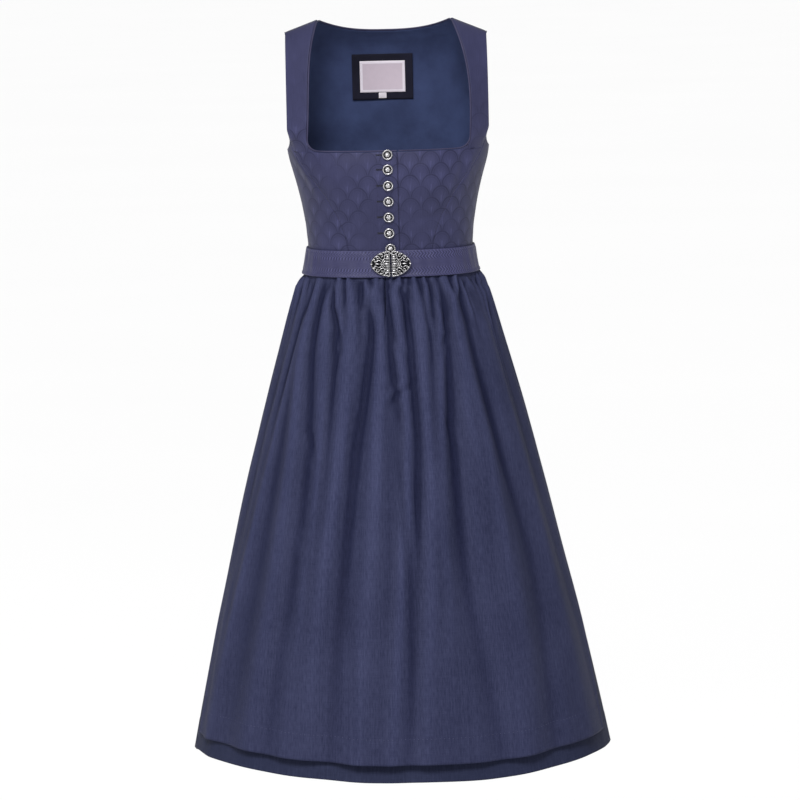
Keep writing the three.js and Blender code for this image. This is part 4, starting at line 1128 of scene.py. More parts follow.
def bodice_back():
    grid = back_grid(edge_inset=0, bottom=BODICE_BOTTOM_Z, body_edge=90, strap_columns=24,
                     middle_columns=96, rows_below=70, rows_above=84)
    grid[:, 2:-2] = softened(grid, passes=6)[:, 2:-2]
    grid = grid + normals(grid) * back_creases(grid)[..., None]
    grid = sunk_seams(grid, left=1.0, right=1.0)
    lengths = run_lengths(grid)
    uv = np.stack([lengths - lengths[:, -1:] / 2, grid[..., 2] + UV_RAISE], -1)
    piece = cloth("bodice_back", [(grid, uv)], BODICE_WALL, JACQUARD)
    flat, area = cut_of([grid])
    dress(piece, "jacquard", "bodice_back")


def softened(grid, passes):
    """Evens out the turn between body and straps; edges stay where they are."""
    for _ in range(passes):
        grid = grid.copy()
        grid[1:-1] = (grid[:-2] + 2 * grid[1:-1] + grid[2:]) / 4
    return grid


def lining_back():
    grid = back_grid(edge_inset=5, bottom=-336, body_edge=84, strap_columns=14,
                     middle_columns=72, rows_below=50, rows_above=74)
    grid = softened(grid, passes=12)
    x, z = grid[..., 0], grid[..., 2]
    soft = 0.35 * np.sin(x / 17 + z / 31) + 0.3 * np.sin(z / 13 - x / 40)
    soft += 0.5 * np.exp(-(((x - 70) / 16) ** 2)) * np.sin(z / 22)
    from_top = grid[-1:, :, 2] - z
    depth = blend(BODICE_WALL + 0.15, LINING_DEPTH - soft, ease(from_top / 14))
    grid = grid - normals(grid) * depth[..., None]
    lengths = run_lengths(grid)
    uv = np.stack([lengths - lengths[:, -1:] / 2, grid[..., 2]], -1)
    piece = cloth("lining_back", [(grid, uv)], LINING_WALL, LINING)
    flat, area = cut_of([grid])
    dress(piece, "lining", "lining_back")


def inside_back(x, z):
    """A point inside the back, at a place across and a height."""
    level = (z - BUST_Z) / SHOULDER_RISE
    neck_x = blend(BODICE_RINGS["half"][0] * NECK_EDGE, NECK_HALF, level**NECK_POWER)
    wanted = np.abs(x) / neck_x * NECK_EDGE
    low = np.full(np.shape(x), 90.0)
    high = np.full(np.shape(x), 180.0)
    for _ in range(30):
        middle = (low + high) / 2
        outside = reach_at(middle) > wanted
        low = np.where(outside, middle, low)
        high = np.where(outside, high, middle)
    angle = np.where(x > 0, high, 360 - high)
    return back_point(angle, z - BUST_Z)


def flat_inside(name, edges, depth, wall, material, slot, curl=0.0):
    """A small sewn piece on the lining, with soft edges and perhaps one curled corner."""
    left, right, bottom, top = edges
    across = np.linspace(right, left, 48)[None]
    up = np.linspace(bottom, top, 36)[:, None]
    x, z = np.broadcast_arrays(across, up)
    grid = inside_back(x, z)
    edge = np.minimum(np.minimum(x - left, right - x), np.minimum(z - bottom, top - z))
    pillow = 0.35 * (1 - np.exp(-((edge / 2.2) ** 2)))
    lift = depth + pillow + curl * ((x - left) / (right - left) * (z - bottom) / (top - bottom)) ** 3
    grid = grid - normals(grid) * lift[..., None]
    uv = np.stack([(left + right) / 2 - x, z - (bottom + top) / 2], -1)
    piece = cloth(name, [(grid, uv)], wall, material)
    flat, area = cut_of([grid])
    dress(piece, slot, name)


# Gathers and folds of skirt and apron
def gather_borders(count, start, stop, salt):
    """Where the uneven gathers begin and end."""
    widths = 1 + 0.5 * (uneven(np.arange(count), salt) - 0.5)
    return start + np.concatenate([[0], np.cumsum(widths)]) / widths.sum() * (stop - start)


def gather_relief(place, z, borders, salt):
    """Uneven gathers below the band: each has its own depth, length and lean."""
    count = len(borders) - 1
    width = (borders[-1] - borders[0]) / count
    drop = z - BAND_BOTTOM_Z
    slow_lean = 0.16 * width * np.sin(place * 2.9 / width + drop / 47)
    quick_lean = 0.1 * width * np.sin(place / width * 1.3 + drop / 19)
    place = place + (slow_lean + quick_lean) * ease(-drop / 30)
    i = np.clip(np.searchsorted(borders, place, side="right") - 1, 0, count - 1)
    share = np.clip((place - borders[i]) / (borders[i + 1] - borders[i]), 0, 1)
    crest = blend(0.6, 1.3, uneven(i, salt + 7))
    rounded = ((1 - np.cos(2 * np.pi * share)) / 2) ** 0.62
    wave = blend(-1, crest, rounded)
    length = blend(0.5, 2.3, uneven(i, salt + 19) ** 1.6)
    next_length = blend(0.5, 2.3, uneven(i + 1, salt + 19) ** 1.6)
    reach = blend(length, next_length, ease(share))
    depth = column(GATHER_DEPTHS, "depth", drop / reach, "drop")
    pucker = np.sin(share * 4 * np.pi + i) * 0.55 * ease(-drop / 3) * ease((drop + 34) / 30)
    return wave * depth + pucker


def skirt_point(angle, z, offset):
    """A point of the skirt's ring, which loses the bodice's boxiness on the way down."""
    boxiness = BOXINESS * (1 - ease((SKIRT_TOP_Z - z) / 200))
    sizes = [column(SKIRT_RINGS, name, z) + offset for name in ("half", "front", "back")]
    return ring_point(*sizes, angle, z, boxiness)


def apron_edge(z):
    """How many degrees round the dress the apron reaches, at each height."""
    share = (z - BAND_BOTTOM_Z) / (APRON_HEM_Z - BAND_BOTTOM_Z)
    return blend(APRON_WAIST_ANGLE, APRON_HEM_ANGLE, share)


def arc(angle, z):
    """How many mm one degree is worth along the skirt's ring."""
    c = np.cos(angle * DEGREE)
    return blend(column(SKIRT_RINGS, "front", z), column(SKIRT_RINGS, "half", z), c * c) * DEGREE


def fold_rise(places, rises, half_widths, levels, angle, z):
    """A soft fold whose place, rise and width change on the way down."""
    rise = along(levels, rises, z)
    place = along(levels, places, z)
    down = (levels[0] - z) / (levels[0] - levels[-1])
    away = (angle - place) * arc(angle, z) / blend(half_widths[0], half_widths[1], down)
    return rise * np.exp(-away * away)


def apron_folds(angle, z):
    total = sum(fold_rise(*fold, FOLD_LEVELS, angle, z) for fold in APRON_FOLDS)
    return total * ease((BAND_BOTTOM_Z - z) / 25)


BACK_LEVELS = np.array([-346, -700, -1084], float)


def back_folds(angle, z):
    """The folds behind the apron, none at the band."""
    total = 0
    for (top, hem), (middle_rise, hem_rise), half_widths in BACK_FOLDS:
        places = (top, (top + hem) / 2, hem)
        total = total + fold_rise(places, (0, middle_rise, hem_rise), half_widths, BACK_LEVELS, angle, z)
    return total


def ripples(angle, z, salt):
    """Long faint waves that hanging cloth always has."""
    total = 0
    for k in range(5):
        turns = 9 + 7 * k + 3 * uneven(k, salt)
        drift = 0.6 * np.sin(z / blend(90, 240, uneven(k, salt + 1)) + k)
        total = total + np.sin(angle * DEGREE * turns + drift + 6 * uneven(k, salt + 2)) / (1 + 0.5 * k)
    return 0.42 * total * ease((-380 - z) / 200)


def hem_step(away, depth):
    """The doubled cloth of a hem stands a little proud, with a sunk stitch line."""
    return 0.45 * ease((depth - away) / 1.2 + 0.5) - 0.35 * np.exp(-(((away - depth) / 1.6) ** 2))


def from_front(angle):
    """Degrees either way from centre front."""
    return np.where(angle > 180, angle - 360, angle)


def hung(angle, z, hem):
    """Heights on a skirt whose hem rises unevenly: all of it low down, none at the knee."""
    rise = column(HEM_RISES, "rise", from_front(angle), "angle")
    return z + rise * ease((-640 - z) / (-640 - hem))


APRON_BORDERS = gather_borders(APRON_GATHERS, -1, 1, APRON_SALT)


def apron_grid(place, z):
    """Points of the apron: place runs from -1 at its right edge to 1 at its left."""
    angle = place * apron_edge(z)
    c = np.maximum(0, np.cos(angle * DEGREE))
    stand_off = blend(column(APRON_STAND_OFF, "side", z), column(APRON_STAND_OFF, "front", z), c * c)
    stand_off = stand_off + GATHER_STAND * c**4 * ease((-345 - z) / 9) * ease((z + 440) / 90)
    beside_front = blend(0.3, 1, ease((np.abs(angle) - MEASURED_ANGLE) / 14))
    relief = gather_relief(place, z, APRON_BORDERS, APRON_SALT) * beside_front
    relief = relief + apron_folds(angle, z) * FOLD_STRENGTH + ripples(angle, z, 5)
    flat = skirt_point(angle, z, stand_off)
    for rise, half_width, path in FRONT_GATHERS:
        relief = relief + falling_rise(flat[..., 0], z, rise, half_width, path)
    for rise, half_width, path in APRON_CREASES:
        relief = relief + crease_rise(flat[..., 0], z, rise, half_width, path)
    from_side = (1 - np.abs(place)) * apron_edge(z) * arc(angle, z)
    relief = relief + hem_step(z - APRON_HEM_Z, APRON_HEM_DEPTH) + hem_step(from_side, SIDE_HEM_WIDTH)
    clear = skirt_offset(angle, z) + APRON_WALL + 0.5
    return skirt_point(angle, hung(angle, z, APRON_HEM_Z), np.maximum(stand_off + relief, clear))


def apron_skirt():
    z = np.concatenate([
        np.linspace(APRON_HEM_Z, -1010, 14),
        np.linspace(-1004, -530, 46),
        np.linspace(-524, -430, 20),
        np.linspace(-426, -352, 34),
        np.linspace(-350, APRON_TOP_Z, 7),
    ])[:, None]
    sides = np.linspace(-1, 1, 338)
    sides = sides[np.abs(sides - SLIT_PLACE) > SLIT_HALF * 1.4]
    middle = np.searchsorted(sides, SLIT_PLACE)
    open_half = SLIT_HALF * ease((z - SLIT_END_Z) / 40)
    place = np.concatenate([
        np.broadcast_to(sides[:middle], (len(z), middle)),
        SLIT_PLACE - open_half,
        SLIT_PLACE + open_half,
        np.broadcast_to(sides[middle:], (len(z), len(sides) - middle)),
    ], axis=1)
    grid = apron_grid(place, z)
    kept = np.ones((len(z) - 1, place.shape[1] - 1), bool)
    kept[:, middle] = False
    uv = np.stack(np.broadcast_arrays(place * APRON_MAP_HALF, z), -1)
    piece = cloth("apron_skirt", [(grid, uv)], APRON_WALL, APRON, kept=kept)
    dress(piece, "apron_cloth", "apron_skirt")
    flat, area = cut_of([grid])


# The skirt under and behind the apron
def skirt_offset(angle, z):
    """How far the skirt stands off its ring: flat under the apron, in folds behind it."""
    front_angle = from_front(angle)
    under = ease((apron_edge(z) + 2 - np.abs(front_angle)) / 9)
    tucked = -HIDDEN_SINK * ease((-343 - z) / 40) * ease((z + 1040) / 110)
    hem_folds = 0.35 * apron_folds(front_angle, z) * ease((-900 - z) / 130)
    round_angle = np.where(front_angle < -90, front_angle + 360, front_angle)
    return blend(back_folds(round_angle, z) + ripples(round_angle, z, 8), tucked + hem_folds, under)


def skirt_front():
    z = np.concatenate([np.linspace(HEM_Z, -1000, 34), np.linspace(-992, SKIRT_TOP_Z, 62)])[:, None]
    angle = np.linspace(-SIDE_SEAM_ANGLE, SIDE_SEAM_ANGLE, 190)[None]
    z, angle = np.broadcast_arrays(z, angle)
    offset = skirt_offset(angle, z) + hem_step(z - HEM_Z, SKIRT_HEM_DEPTH) * 0.6
    grid = sunk_seams(skirt_point(angle, hung(angle, z, HEM_Z), offset), left=0.8, right=0.8)
    uv = np.stack([angle / SIDE_SEAM_ANGLE * SKIRT_FRONT_MAP_HALF, z], -1)
    piece = cloth("skirt_front", [(grid, uv)], SKIRT_WALL, SKIRT)
    dress(piece, "skirt_cloth", "skirt_front")
    flat, area = cut_of([grid])


BACK_BORDERS = gather_borders(SKIRT_BACK_GATHERS, SIDE_SEAM_ANGLE, 360 - SIDE_SEAM_ANGLE, SKIRT_SALT)


def skirt_back_grid(angle, z):
    from_seam = np.minimum(angle - SIDE_SEAM_ANGLE, 360 - SIDE_SEAM_ANGLE - angle)
    beside_apron = ease((from_seam - 14) / 6)
    gather = gather_relief(angle, z, BACK_BORDERS, SKIRT_SALT) * blend(0.12, 1, beside_apron)
    offset = skirt_offset(angle, z) + gather + hem_step(z - HEM_Z, SKIRT_HEM_DEPTH) * 0.6
    return skirt_point(angle, hung(angle, z, HEM_Z), offset)


def skirt_back():
    z = np.concatenate([
        np.linspace(HEM_Z, -1030, 16),
        np.linspace(-1022, -530, 44),
        np.linspace(-522, -430, 16),
        np.linspace(-426, SKIRT_TOP_Z, 34),
    ])[:, None]
    angle = np.linspace(SIDE_SEAM_ANGLE, 360 - SIDE_SEAM_ANGLE, 300)[None]
    z, angle = np.broadcast_arrays(z, angle)
    grid = sunk_seams(skirt_back_grid(angle, z), left=0.8, right=0.8)
    uv = np.stack([(angle - 180) / (180 - SIDE_SEAM_ANGLE) * SKIRT_BACK_MAP_HALF, z], -1)
    piece = cloth("skirt_back", [(grid, uv)], SKIRT_WALL, SKIRT)
    dress(piece, "skirt_cloth", "skirt_back")
    flat, area = cut_of([grid])


# Apron band
BAND_END_ANGLE = 1
BAND_FOLD_X = -35


def band_point(angle, z):
    """A point of the band's outer face, with its rolled edges, stitch lines and end's fold."""
    down = (BAND_TOP_Z - z) / (BAND_TOP_Z - BAND_BOTTOM_Z)
    on_body = z > SKIRT_TOP_Z
    rise = blend(3.4, 6.2, down)
    sizes = [
        np.where(on_body, column(BODICE_RINGS, name, z), column(SKIRT_RINGS, name, z)) + rise
        for name in ("half", "front", "back")
    ]
    point = ring_point(*sizes, angle, z, BOXINESS)
    s = np.sin(angle * DEGREE)
    wave = 0.35 * np.sin(angle * DEGREE * 23 + z / 9) + 0.3 * np.sin(angle * DEGREE * 41 + 1)
    edge = np.minimum(BAND_TOP_Z - z, z - BAND_BOTTOM_Z)
    roll = -0.7 * np.exp(-((edge / 1.3) ** 2))
    stitch = -0.35 * np.exp(-(((edge - BAND_STITCH_INSET) / 0.9) ** 2))
    x = point[..., 0]
    on_end = (np.cos(angle * DEGREE) > 0) * (x < 0)
    fold = 0.9 * ease((x - BAND_FOLD_X) / 0.8) * on_end * ease((-x - 4) / 8)
    relief = wave * ease(edge / 8) + roll + stitch + fold
    point[..., 0] += relief * s
    point[..., 1] -= relief * np.cos(angle * DEGREE)
    return point


def apron_band():
    edge_rows = [0, 0.5, 1.2, 2, 2.6, 3.2, 3.8, 4.6]
    inner_rows = np.linspace(6, BAND_TOP_Z - BAND_BOTTOM_Z - 6, 14)
    drops = [BAND_TOP_Z - BAND_BOTTOM_Z - row for row in reversed(edge_rows)]
    z = (BAND_BOTTOM_Z + np.array([*edge_rows, *inner_rows, *drops]))[:, None]
    angle = np.linspace(BAND_END_ANGLE, 360 - BAND_END_ANGLE, 620)[None]
    z, angle = np.broadcast_arrays(z, angle)
    grid = band_point(angle, z)
    uv = np.stack([run_lengths(grid), z - BAND_BOTTOM_Z], -1)
    piece = cloth("apron_band", [(grid, uv)], BAND_WALL, BAND)
    flat, area = cut_of([grid])
    dress(piece, "band_cloth", "apron_band")


# Rows of stitches or beads along a path, by geometry nodes
def row_tree():
    tree = bpy.data.node_groups.new("row_along_path", "GeometryNodeTree")
    face = tree.interface
    face.new_socket("Geometry", in_out="INPUT", socket_type="NodeSocketGeometry")
    for name in ("Pitch", "Radius", "Length"):
        face.new_socket(name, in_out="INPUT", socket_type="NodeSocketFloat")
    face.new_socket("Material", in_out="INPUT", socket_type="NodeSocketMaterial")
    face.new_socket("Geometry", in_out="OUTPUT", socket_type="NodeSocketGeometry")
    new, link = tree.nodes.new, tree.links.new
    inside, outside = new("NodeGroupInput"), new("NodeGroupOutput")
    to_curve = new("GeometryNodeMeshToCurve")
    link(inside.outputs["Geometry"], to_curve.inputs[0])
    spaced = new("GeometryNodeResampleCurve")
    spaced.mode = "LENGTH"
    link(to_curve.outputs[0], spaced.inputs["Curve"])
    link(inside.outputs["Pitch"], spaced.inputs["Length"])
    bead = new("GeometryNodeMeshUVSphere")
    bead.inputs["Segments"].default_value = 8
    bead.inputs["Rings"].default_value = 5
    bead.inputs["Radius"].default_value = 1
    size = new("ShaderNodeCombineXYZ")
    for axis, name in enumerate(("Radius", "Radius", "Length")):
        link(inside.outputs[name], size.inputs[axis])
    tangent = new("GeometryNodeInputTangent")
    turn = new("FunctionNodeAlignRotationToVector")
    turn.axis = "Z"
    link(tangent.outputs[0], turn.inputs["Vector"])
    placed = new("GeometryNodeInstanceOnPoints")
    link(spaced.outputs[0], placed.inputs["Points"])
    link(bead.outputs["Mesh"], placed.inputs["Instance"])
    link(turn.outputs[0], placed.inputs["Rotation"])
    link(size.outputs[0], placed.inputs["Scale"])
    real = new("GeometryNodeRealizeInstances")
    link(placed.outputs[0], real.inputs[0])
    finish = new("GeometryNodeSetMaterial")
    link(real.outputs[0], finish.inputs["Geometry"])
    link(inside.outputs["Material"], finish.inputs["Material"])
    link(finish.outputs[0], outside.inputs[0])
    return tree


ROW_TREE = row_tree()


def row_of(name, paths, pitch, radius, length, material):
    """Stitches or beads along open paths of points in mm. Length is the half-length."""
    points, edges = [], []
    for path in paths:
        start = len(points)
        points.extend(tuple(pulled(point) * MM) for point in path)
        edges.extend((start + i, start + i + 1) for i in range(len(path) - 1))
    mesh = bpy.data.meshes.new(name + "_path")
    mesh.from_pydata(points, edges, [])
    source = in_scene(name + "_path", mesh)
    modifier = source.modifiers.new("row", "NODES")
    modifier.node_group = ROW_TREE
    values = {"Pitch": pitch * MM, "Radius": radius * MM, "Length": length * MM, "Material": material}
    for item in ROW_TREE.interface.items_tree:
        if item.in_out == "INPUT" and item.name in values:
            modifier[item.identifier] = values[item.name]
    return settle(name, source, material)


def lifted(points, out):
    """Moves a path outward from the dress's middle line by a few tenths."""
    points = np.asarray(points, float)
    flat = points * (1, 1, 0)
    return points + flat / np.maximum(np.linalg.norm(flat, axis=1, keepdims=True), 1e-6) * out


def stitching():
    """Rows of stitches on band, apron and skirt."""
    angles = np.linspace(BAND_END_ANGLE + 1, 359 - BAND_END_ANGLE, 700)
    paths = []
    for z in (BAND_TOP_Z - BAND_STITCH_INSET, BAND_BOTTOM_Z + BAND_STITCH_INSET):
        paths.append(lifted(band_point(angles, np.full(700, z)), 0.12))
    rows = np.linspace(BAND_BOTTOM_Z + 3, BAND_TOP_Z - 3, 40)
    for x in (BAND_FOLD_X + 3, -14, 14):
        angle = np.degrees(np.arcsin(x / 142))
        paths.append(lifted(band_point(np.full(40, angle), rows), 0.15))

    z = np.linspace(APRON_HEM_Z + 2, BAND_BOTTOM_Z - 6, 420)
    sides = []
    for side in (-1, 1):
        inset = SIDE_HEM_WIDTH / (apron_edge(z) * arc(apron_edge(z), z))
        sides.append(lifted(apron_grid(side * (1 - inset), z), 0.25))
    places = np.linspace(-0.985, 0.985, 900)
    apron_hem = lifted(apron_grid(places, np.full(900, APRON_HEM_Z + APRON_HEM_DEPTH)), 0.2)

    angles = np.linspace(SIDE_SEAM_ANGLE + 2, 358 - SIDE_SEAM_ANGLE, 900)
    skirt_hem = lifted(skirt_back_grid(angles, np.full(900, HEM_Z + SKIRT_HEM_DEPTH)), 0.2)

    for name, lines, stitch, slot in (
        ("band_stitches", paths, BAND_STITCH, "band_cloth"),
        ("apron_side_stitches", sides, SIDE_STITCH, "apron_cloth"),
        ("apron_hem_stitches", [apron_hem], HEM_STITCH, "apron_cloth"),
        ("skirt_hem_stitches", [skirt_hem], HEM_STITCH, "skirt_cloth"),
    ):
        dress(row_of(name, lines, *stitch, THREAD), slot)


# Neckline piping
def piping():
    """The cord round the neckline, over the cut edges of fronts, straps and back."""

    def edge(point, beside, beyond, reach=PIPING_REACH):
        normal = np.cross(beside - point, beyond - point)
        normal = normal / np.linalg.norm(normal)
        outside = np.array([point[0], point[1] - SHOULDER_Y, max(0, point[2] - BUST_Z - 60)])
        return point, normal if normal @ outside > 0 else -normal, reach

    def on_body(side, x):
        angle = np.degrees(np.arcsin(abs(x) / 166)) * (1 if x * side > 0 else -1)
        for _ in range(12):
            angle += (x - front_point(side, angle, 0.0)[0]) * side / 2.6
        beside = front_point(side, angle + 1, 0.0)
        return edge(front_point(side, angle, 0.0), beside, front_point(side, angle, -3.0))

    def on_strap(side, level):
        beside = strap_point(side, level, 0.05)
        return edge(strap_point(side, level, 0), beside, strap_point(side, level + 0.004, 0))

    def on_back(angle):
        height = back_top(angle)
        beyond = back_point(angle, height - 2)
        return edge(back_point(angle, height), back_point(angle + 1, height), beyond, PIPING_REACH + 0.2)

    turn = np.linspace(0.12, np.pi / 2, 16)
    levels = [*(CORNER_RISE * (1 - np.cos(turn))), *np.linspace(0.13, 0.985, 40)]
    stations = [on_body(1, x) for x in np.linspace(LAP_X + 2.5, 96, 26)]
    stations += [on_strap(1, level) for level in levels]
    stations += [on_back(angle) for angle in np.linspace(130.5, 229.5, 60)]
    stations += [on_strap(-1, level) for level in reversed(levels)]
    stations += [on_body(-1, x) for x in np.linspace(-96, LAP_X - 0.5, 30)]
    path = []
    for i, (point, normal, reach) in enumerate(stations):
        before = stations[max(0, i - 1)][0]
        after = stations[min(len(stations) - 1, i + 1)][0]
        beside = np.cross(normal, after - before)
        beside = beside / np.linalg.norm(beside)
        path.append(point - normal * BODICE_WALL / 2 + beside * reach)
    piece = tube("neckline_piping", [path], PIPING_RADIUS, PIPING)
    dress(piece, "piping", "neckline_piping")


def tube(name, paths, radius, material, radii=None):
    """A round rod or roll along paths of points in mm."""
    curve = bpy.data.curves.new(name + "_line", "CURVE")
    curve.dimensions = "3D"
    curve.bevel_depth = radius * MM
    curve.bevel_resolution = 3
    curve.use_fill_caps = True
    for number, path in enumerate(paths):
        spline = curve.splines.new("POLY")
        spline.points.add(len(path) - 1)
        for i, point in enumerate(path):
            spline.points[i].co = (*(pulled(point) * MM), 1)
            if radii is not None:
                spline.points[i].radius = radii[number][i]
    source = in_scene(name + "_line", curve)
    return settle(name, source, material)


# Silver: each mesh carries how worn its surface is
def set_worn(mesh, values):
    layer = mesh.attributes.get("worn") or mesh.attributes.new("worn", "FLOAT", "POINT")
    layer.data.foreach_set("value", np.asarray(values, float))


def join(name, parts, material):
    """One mesh from several objects."""
    work = bmesh.new()
    for part in parts:
        work.from_mesh(part.data)
        bpy.data.objects.remove(part)
    mesh = bpy.data.meshes.new(name)
    work.to_mesh(mesh)
    work.free()
    mesh.materials.append(material)
    mesh.polygons.foreach_set("use_smooth", np.full(len(mesh.polygons), True))
    return in_scene(name, mesh)


def in_place(piece, origin, out, up):
    """Turns a mesh made with its face along +Z to face outward on the dress, in mm."""
    out = Vector(out).normalized()
    side = Vector(up).cross(out).normalized()
    turn = Matrix((side, out.cross(side).normalized(), out)).transposed().to_4x4()
    piece.data.transform(Matrix.Translation(Vector(origin) * MM) @ turn)


def lathe(name, profile, relief, segments):
    """A turned disc: rows of (radius, height), with relief(radius, turn) on its face."""
    turns = np.linspace(0, 2 * np.pi, segments, endpoint=False)
    points = [(0, 0, profile[0][1])]
    for radius, height in profile[1:-1]:
        lift = relief(radius, turns)
        points.extend(zip(radius * np.cos(turns), radius * np.sin(turns), height + lift))
    points.append((0, 0, profile[-1][1] + float(relief(0, np.zeros(1))[0])))
    faces = []
    rings = len(profile) - 2
    for i in range(segments):
        after = (i + 1) % segments
        faces.append((0, 1 + after, 1 + i))
        for ring in range(rings - 1):
            low, high = 1 + ring * segments, 1 + (ring + 1) * segments
            faces.append((low + i, low + after, high + after, high + i))
        top = 1 + (rings - 1) * segments
        faces.append((top + i, top + after, len(points) - 1))
    return in_scene(name, clean_mesh(name, points, faces))


def button_relief(radius, turns):
    """Six petals round the middle, and fine rays in the hollow outside them."""
    petals = 0.34 * np.cos(6 * turns) * np.exp(-(((radius - 2.7) / 1.1) ** 2))
    rays = 0.12 * np.cos(18 * turns) * np.exp(-(((radius - 4.6) / 0.5) ** 2))
    return petals + rays


# A button's face from its edge inward, as (radius, height)
BUTTON_FACE = (
    (BUTTON_RADIUS, 0.5), (7.72, 1.0), (7.5, 1.5), (7.1, 1.85), (6.6, 1.95), (6.1, 1.8),
    (5.75, 1.45), (5.5, 1.05), (5.0, 0.9), (4.6, 0.95), (4.2, 1.1), (3.8, 1.45),
    (3.4, 1.75), (2.9, 2.0), (2.3, 2.25), (1.7, 2.45), (1.1, 2.58), (0.5, 2.64), (0, 2.66),
)
# Heights at which the silver is half worn, by distance from the button's middle
WEAR_HEIGHTS = table(
    ("away", "height"),
    (0, 2.6),
    (2, 2.3),
    (3, 2.1),
    (3.8, 1.7),
    (4.3, 1.5),
    (5.2, 1.4),
    (5.7, 1.4),
    (6.2, 1.6),
    (7, 1.75),
    (7.8, 0.6),
)


def button(name, origin, out, shank):
    """A domed silver button on its shank, with a ring of beads at its rim."""
    profile = ((0, -shank), (2, -shank), (2, 0.0), (7.3, 0.05), (7.6, 0.2), *BUTTON_FACE)
    disc = lathe(name + "_disc", profile, button_relief, segments=72)
    turns = np.linspace(0, 2 * np.pi, 120)
    circle = np.stack([BEAD_RING * np.cos(turns), BEAD_RING * np.sin(turns), np.full(120, BEAD_HEIGHT)], -1)
    pitch = 2 * np.pi * BEAD_RING / BEAD_COUNT
    beads = row_of(name + "_beads", [circle], pitch, radius=0.5, length=0.62, material=SILVER)
    piece = join(name, [disc, beads], SILVER)
    x, y, height = np.array([v.co for v in piece.data.vertices]).T / MM
    away = np.hypot(x, y)
    expected = np.interp(away, WEAR_HEIGHTS["away"], WEAR_HEIGHTS["height"])
    hollow = np.exp(-(((away - 4.9) / 0.95) ** 2))
    set_worn(piece.data, np.clip(0.75 + 1.1 * (height - expected) - 0.45 * hollow, 0, 1))
    in_place(piece, origin, out, (0, 0, 1))
    dress(piece, "silver", name)


def front_at(x, z):
    """A point on the lapping front, at a place across and a height."""
    half = column(BODICE_RINGS, "half", z) * (1 + BOXINESS)
    return front_point(-1, -np.degrees(np.arcsin(x / half)), z - BUST_Z)


def buttons():
    """Six buttons down the closing, each with its buttonhole, and one just above the clasp."""
    for i, z in enumerate(BUTTON_HEIGHTS):
        top = front_at(BUTTON_X, z + SEAT_HALF)
        bottom = front_at(BUTTON_X, z - SEAT_HALF)
        down = (bottom - top) / np.linalg.norm(bottom - top)
        out = np.array([0, down[2], -down[1]])
        seat = (top + bottom) / 2 + out * (BUTTON_SHANK + 0.5)
        button(f"button_{i + 1}", seat, out, BUTTON_SHANK)
        buttonhole(f"buttonhole_{i + 1}", z, out)
    seat = front_at(0, LAST_BUTTON[2])
    button("button_7", LAST_BUTTON, (0, -1, 0), seat[1] - LAST_BUTTON[1] - 1.1)


def buttonhole(name, z, out):
    """Close thread bars round a slit, seen at the button's side."""
    paths = []
    for x in np.arange(-18, -4.5, 0.62):
        for low, high in ((-1.2, -0.2), (0.2, 1.2)):
            ends = [front_at(x, z + step) + out * 0.28 for step in (low, high)]
            paths.append(ends)
    for x in (-18.7, -4.4):
        paths.append([front_at(x, z + step) + out * 0.3 for step in (-1.4, 1.4)])
    piece = tube(name, paths, 0.27, DARK_THREAD)
    dress(piece, "jacquard")


# Clasp
def on_clasp(x, z, out):
    """Place on the clasp's face in mm: across, up and outward."""
    y = -np.asarray(out, float)
    z = np.asarray(z, float)
    tilted_y = y * math.cos(CLASP_TILT) - z * math.sin(CLASP_TILT)
    tilted_z = y * math.sin(CLASP_TILT) + z * math.cos(CLASP_TILT)
    return np.stack(np.broadcast_arrays(
        np.asarray(x, float) + CLASP_PLACE[0], tilted_y + CLASP_PLACE[1], tilted_z + CLASP_PLACE[2]), -1)


def clasp_outline(inset):
    """A half's edge: from the middle out to its tip, and back along the bottom."""
    share = np.linspace(0, 1, 40)
    x = (CLASP_HALF_WIDTH - inset) * np.sin(share * np.pi / 2)
    z = (CLASP_HALF_HEIGHT - inset) * np.cos(share * np.pi / 2) ** 1.15
    x[0] = 0.6 + inset
    return [*zip(x, z), *zip(x[-2::-1], -z[-2::-1])]


def scroll(x, z, radius, start, turns, mirror=1):
    """A leaf's curl: a spiral that winds inward, with its height over the plate."""
    t = np.linspace(0, 1, 26)
    angle = (start + mirror * turns * 360 * t) * DEGREE
    size = radius * (1 - 0.78 * t)
    return np.stack([x + size * np.cos(angle), z + size * np.sin(angle), 1.7 + 0.7 * np.sin(np.pi * t)], -1)


def bowed(start, stop, bow, out):
    """A vein from one place to another, bowed sideways."""
    start, stop = np.array(start, float), np.array(stop, float)
    t = np.linspace(0, 1, 14)[:, None]
    way = stop - start
    side = np.array([-way[1], way[0]]) / np.linalg.norm(way)
    flat = start + way * t + side * bow * np.sin(np.pi * t)
    return np.concatenate([flat, out + 0.5 * np.sin(np.pi * t)], axis=1)


# Curls and veins of one quarter of the clasp, above its middle line
CURLS = (
    (7.4, 15.6, 2.7, 160, 1.0, -1),
    (13.4, 11.9, 2.8, 30, 1.0, 1),
    (19.9, 9.0, 2.7, 130, 1.0, -1),
    (25.1, 5.2, 2.2, 20, 0.9, 1),
    (2.8, 16.2, 1.6, 60, 0.8, 1),
)
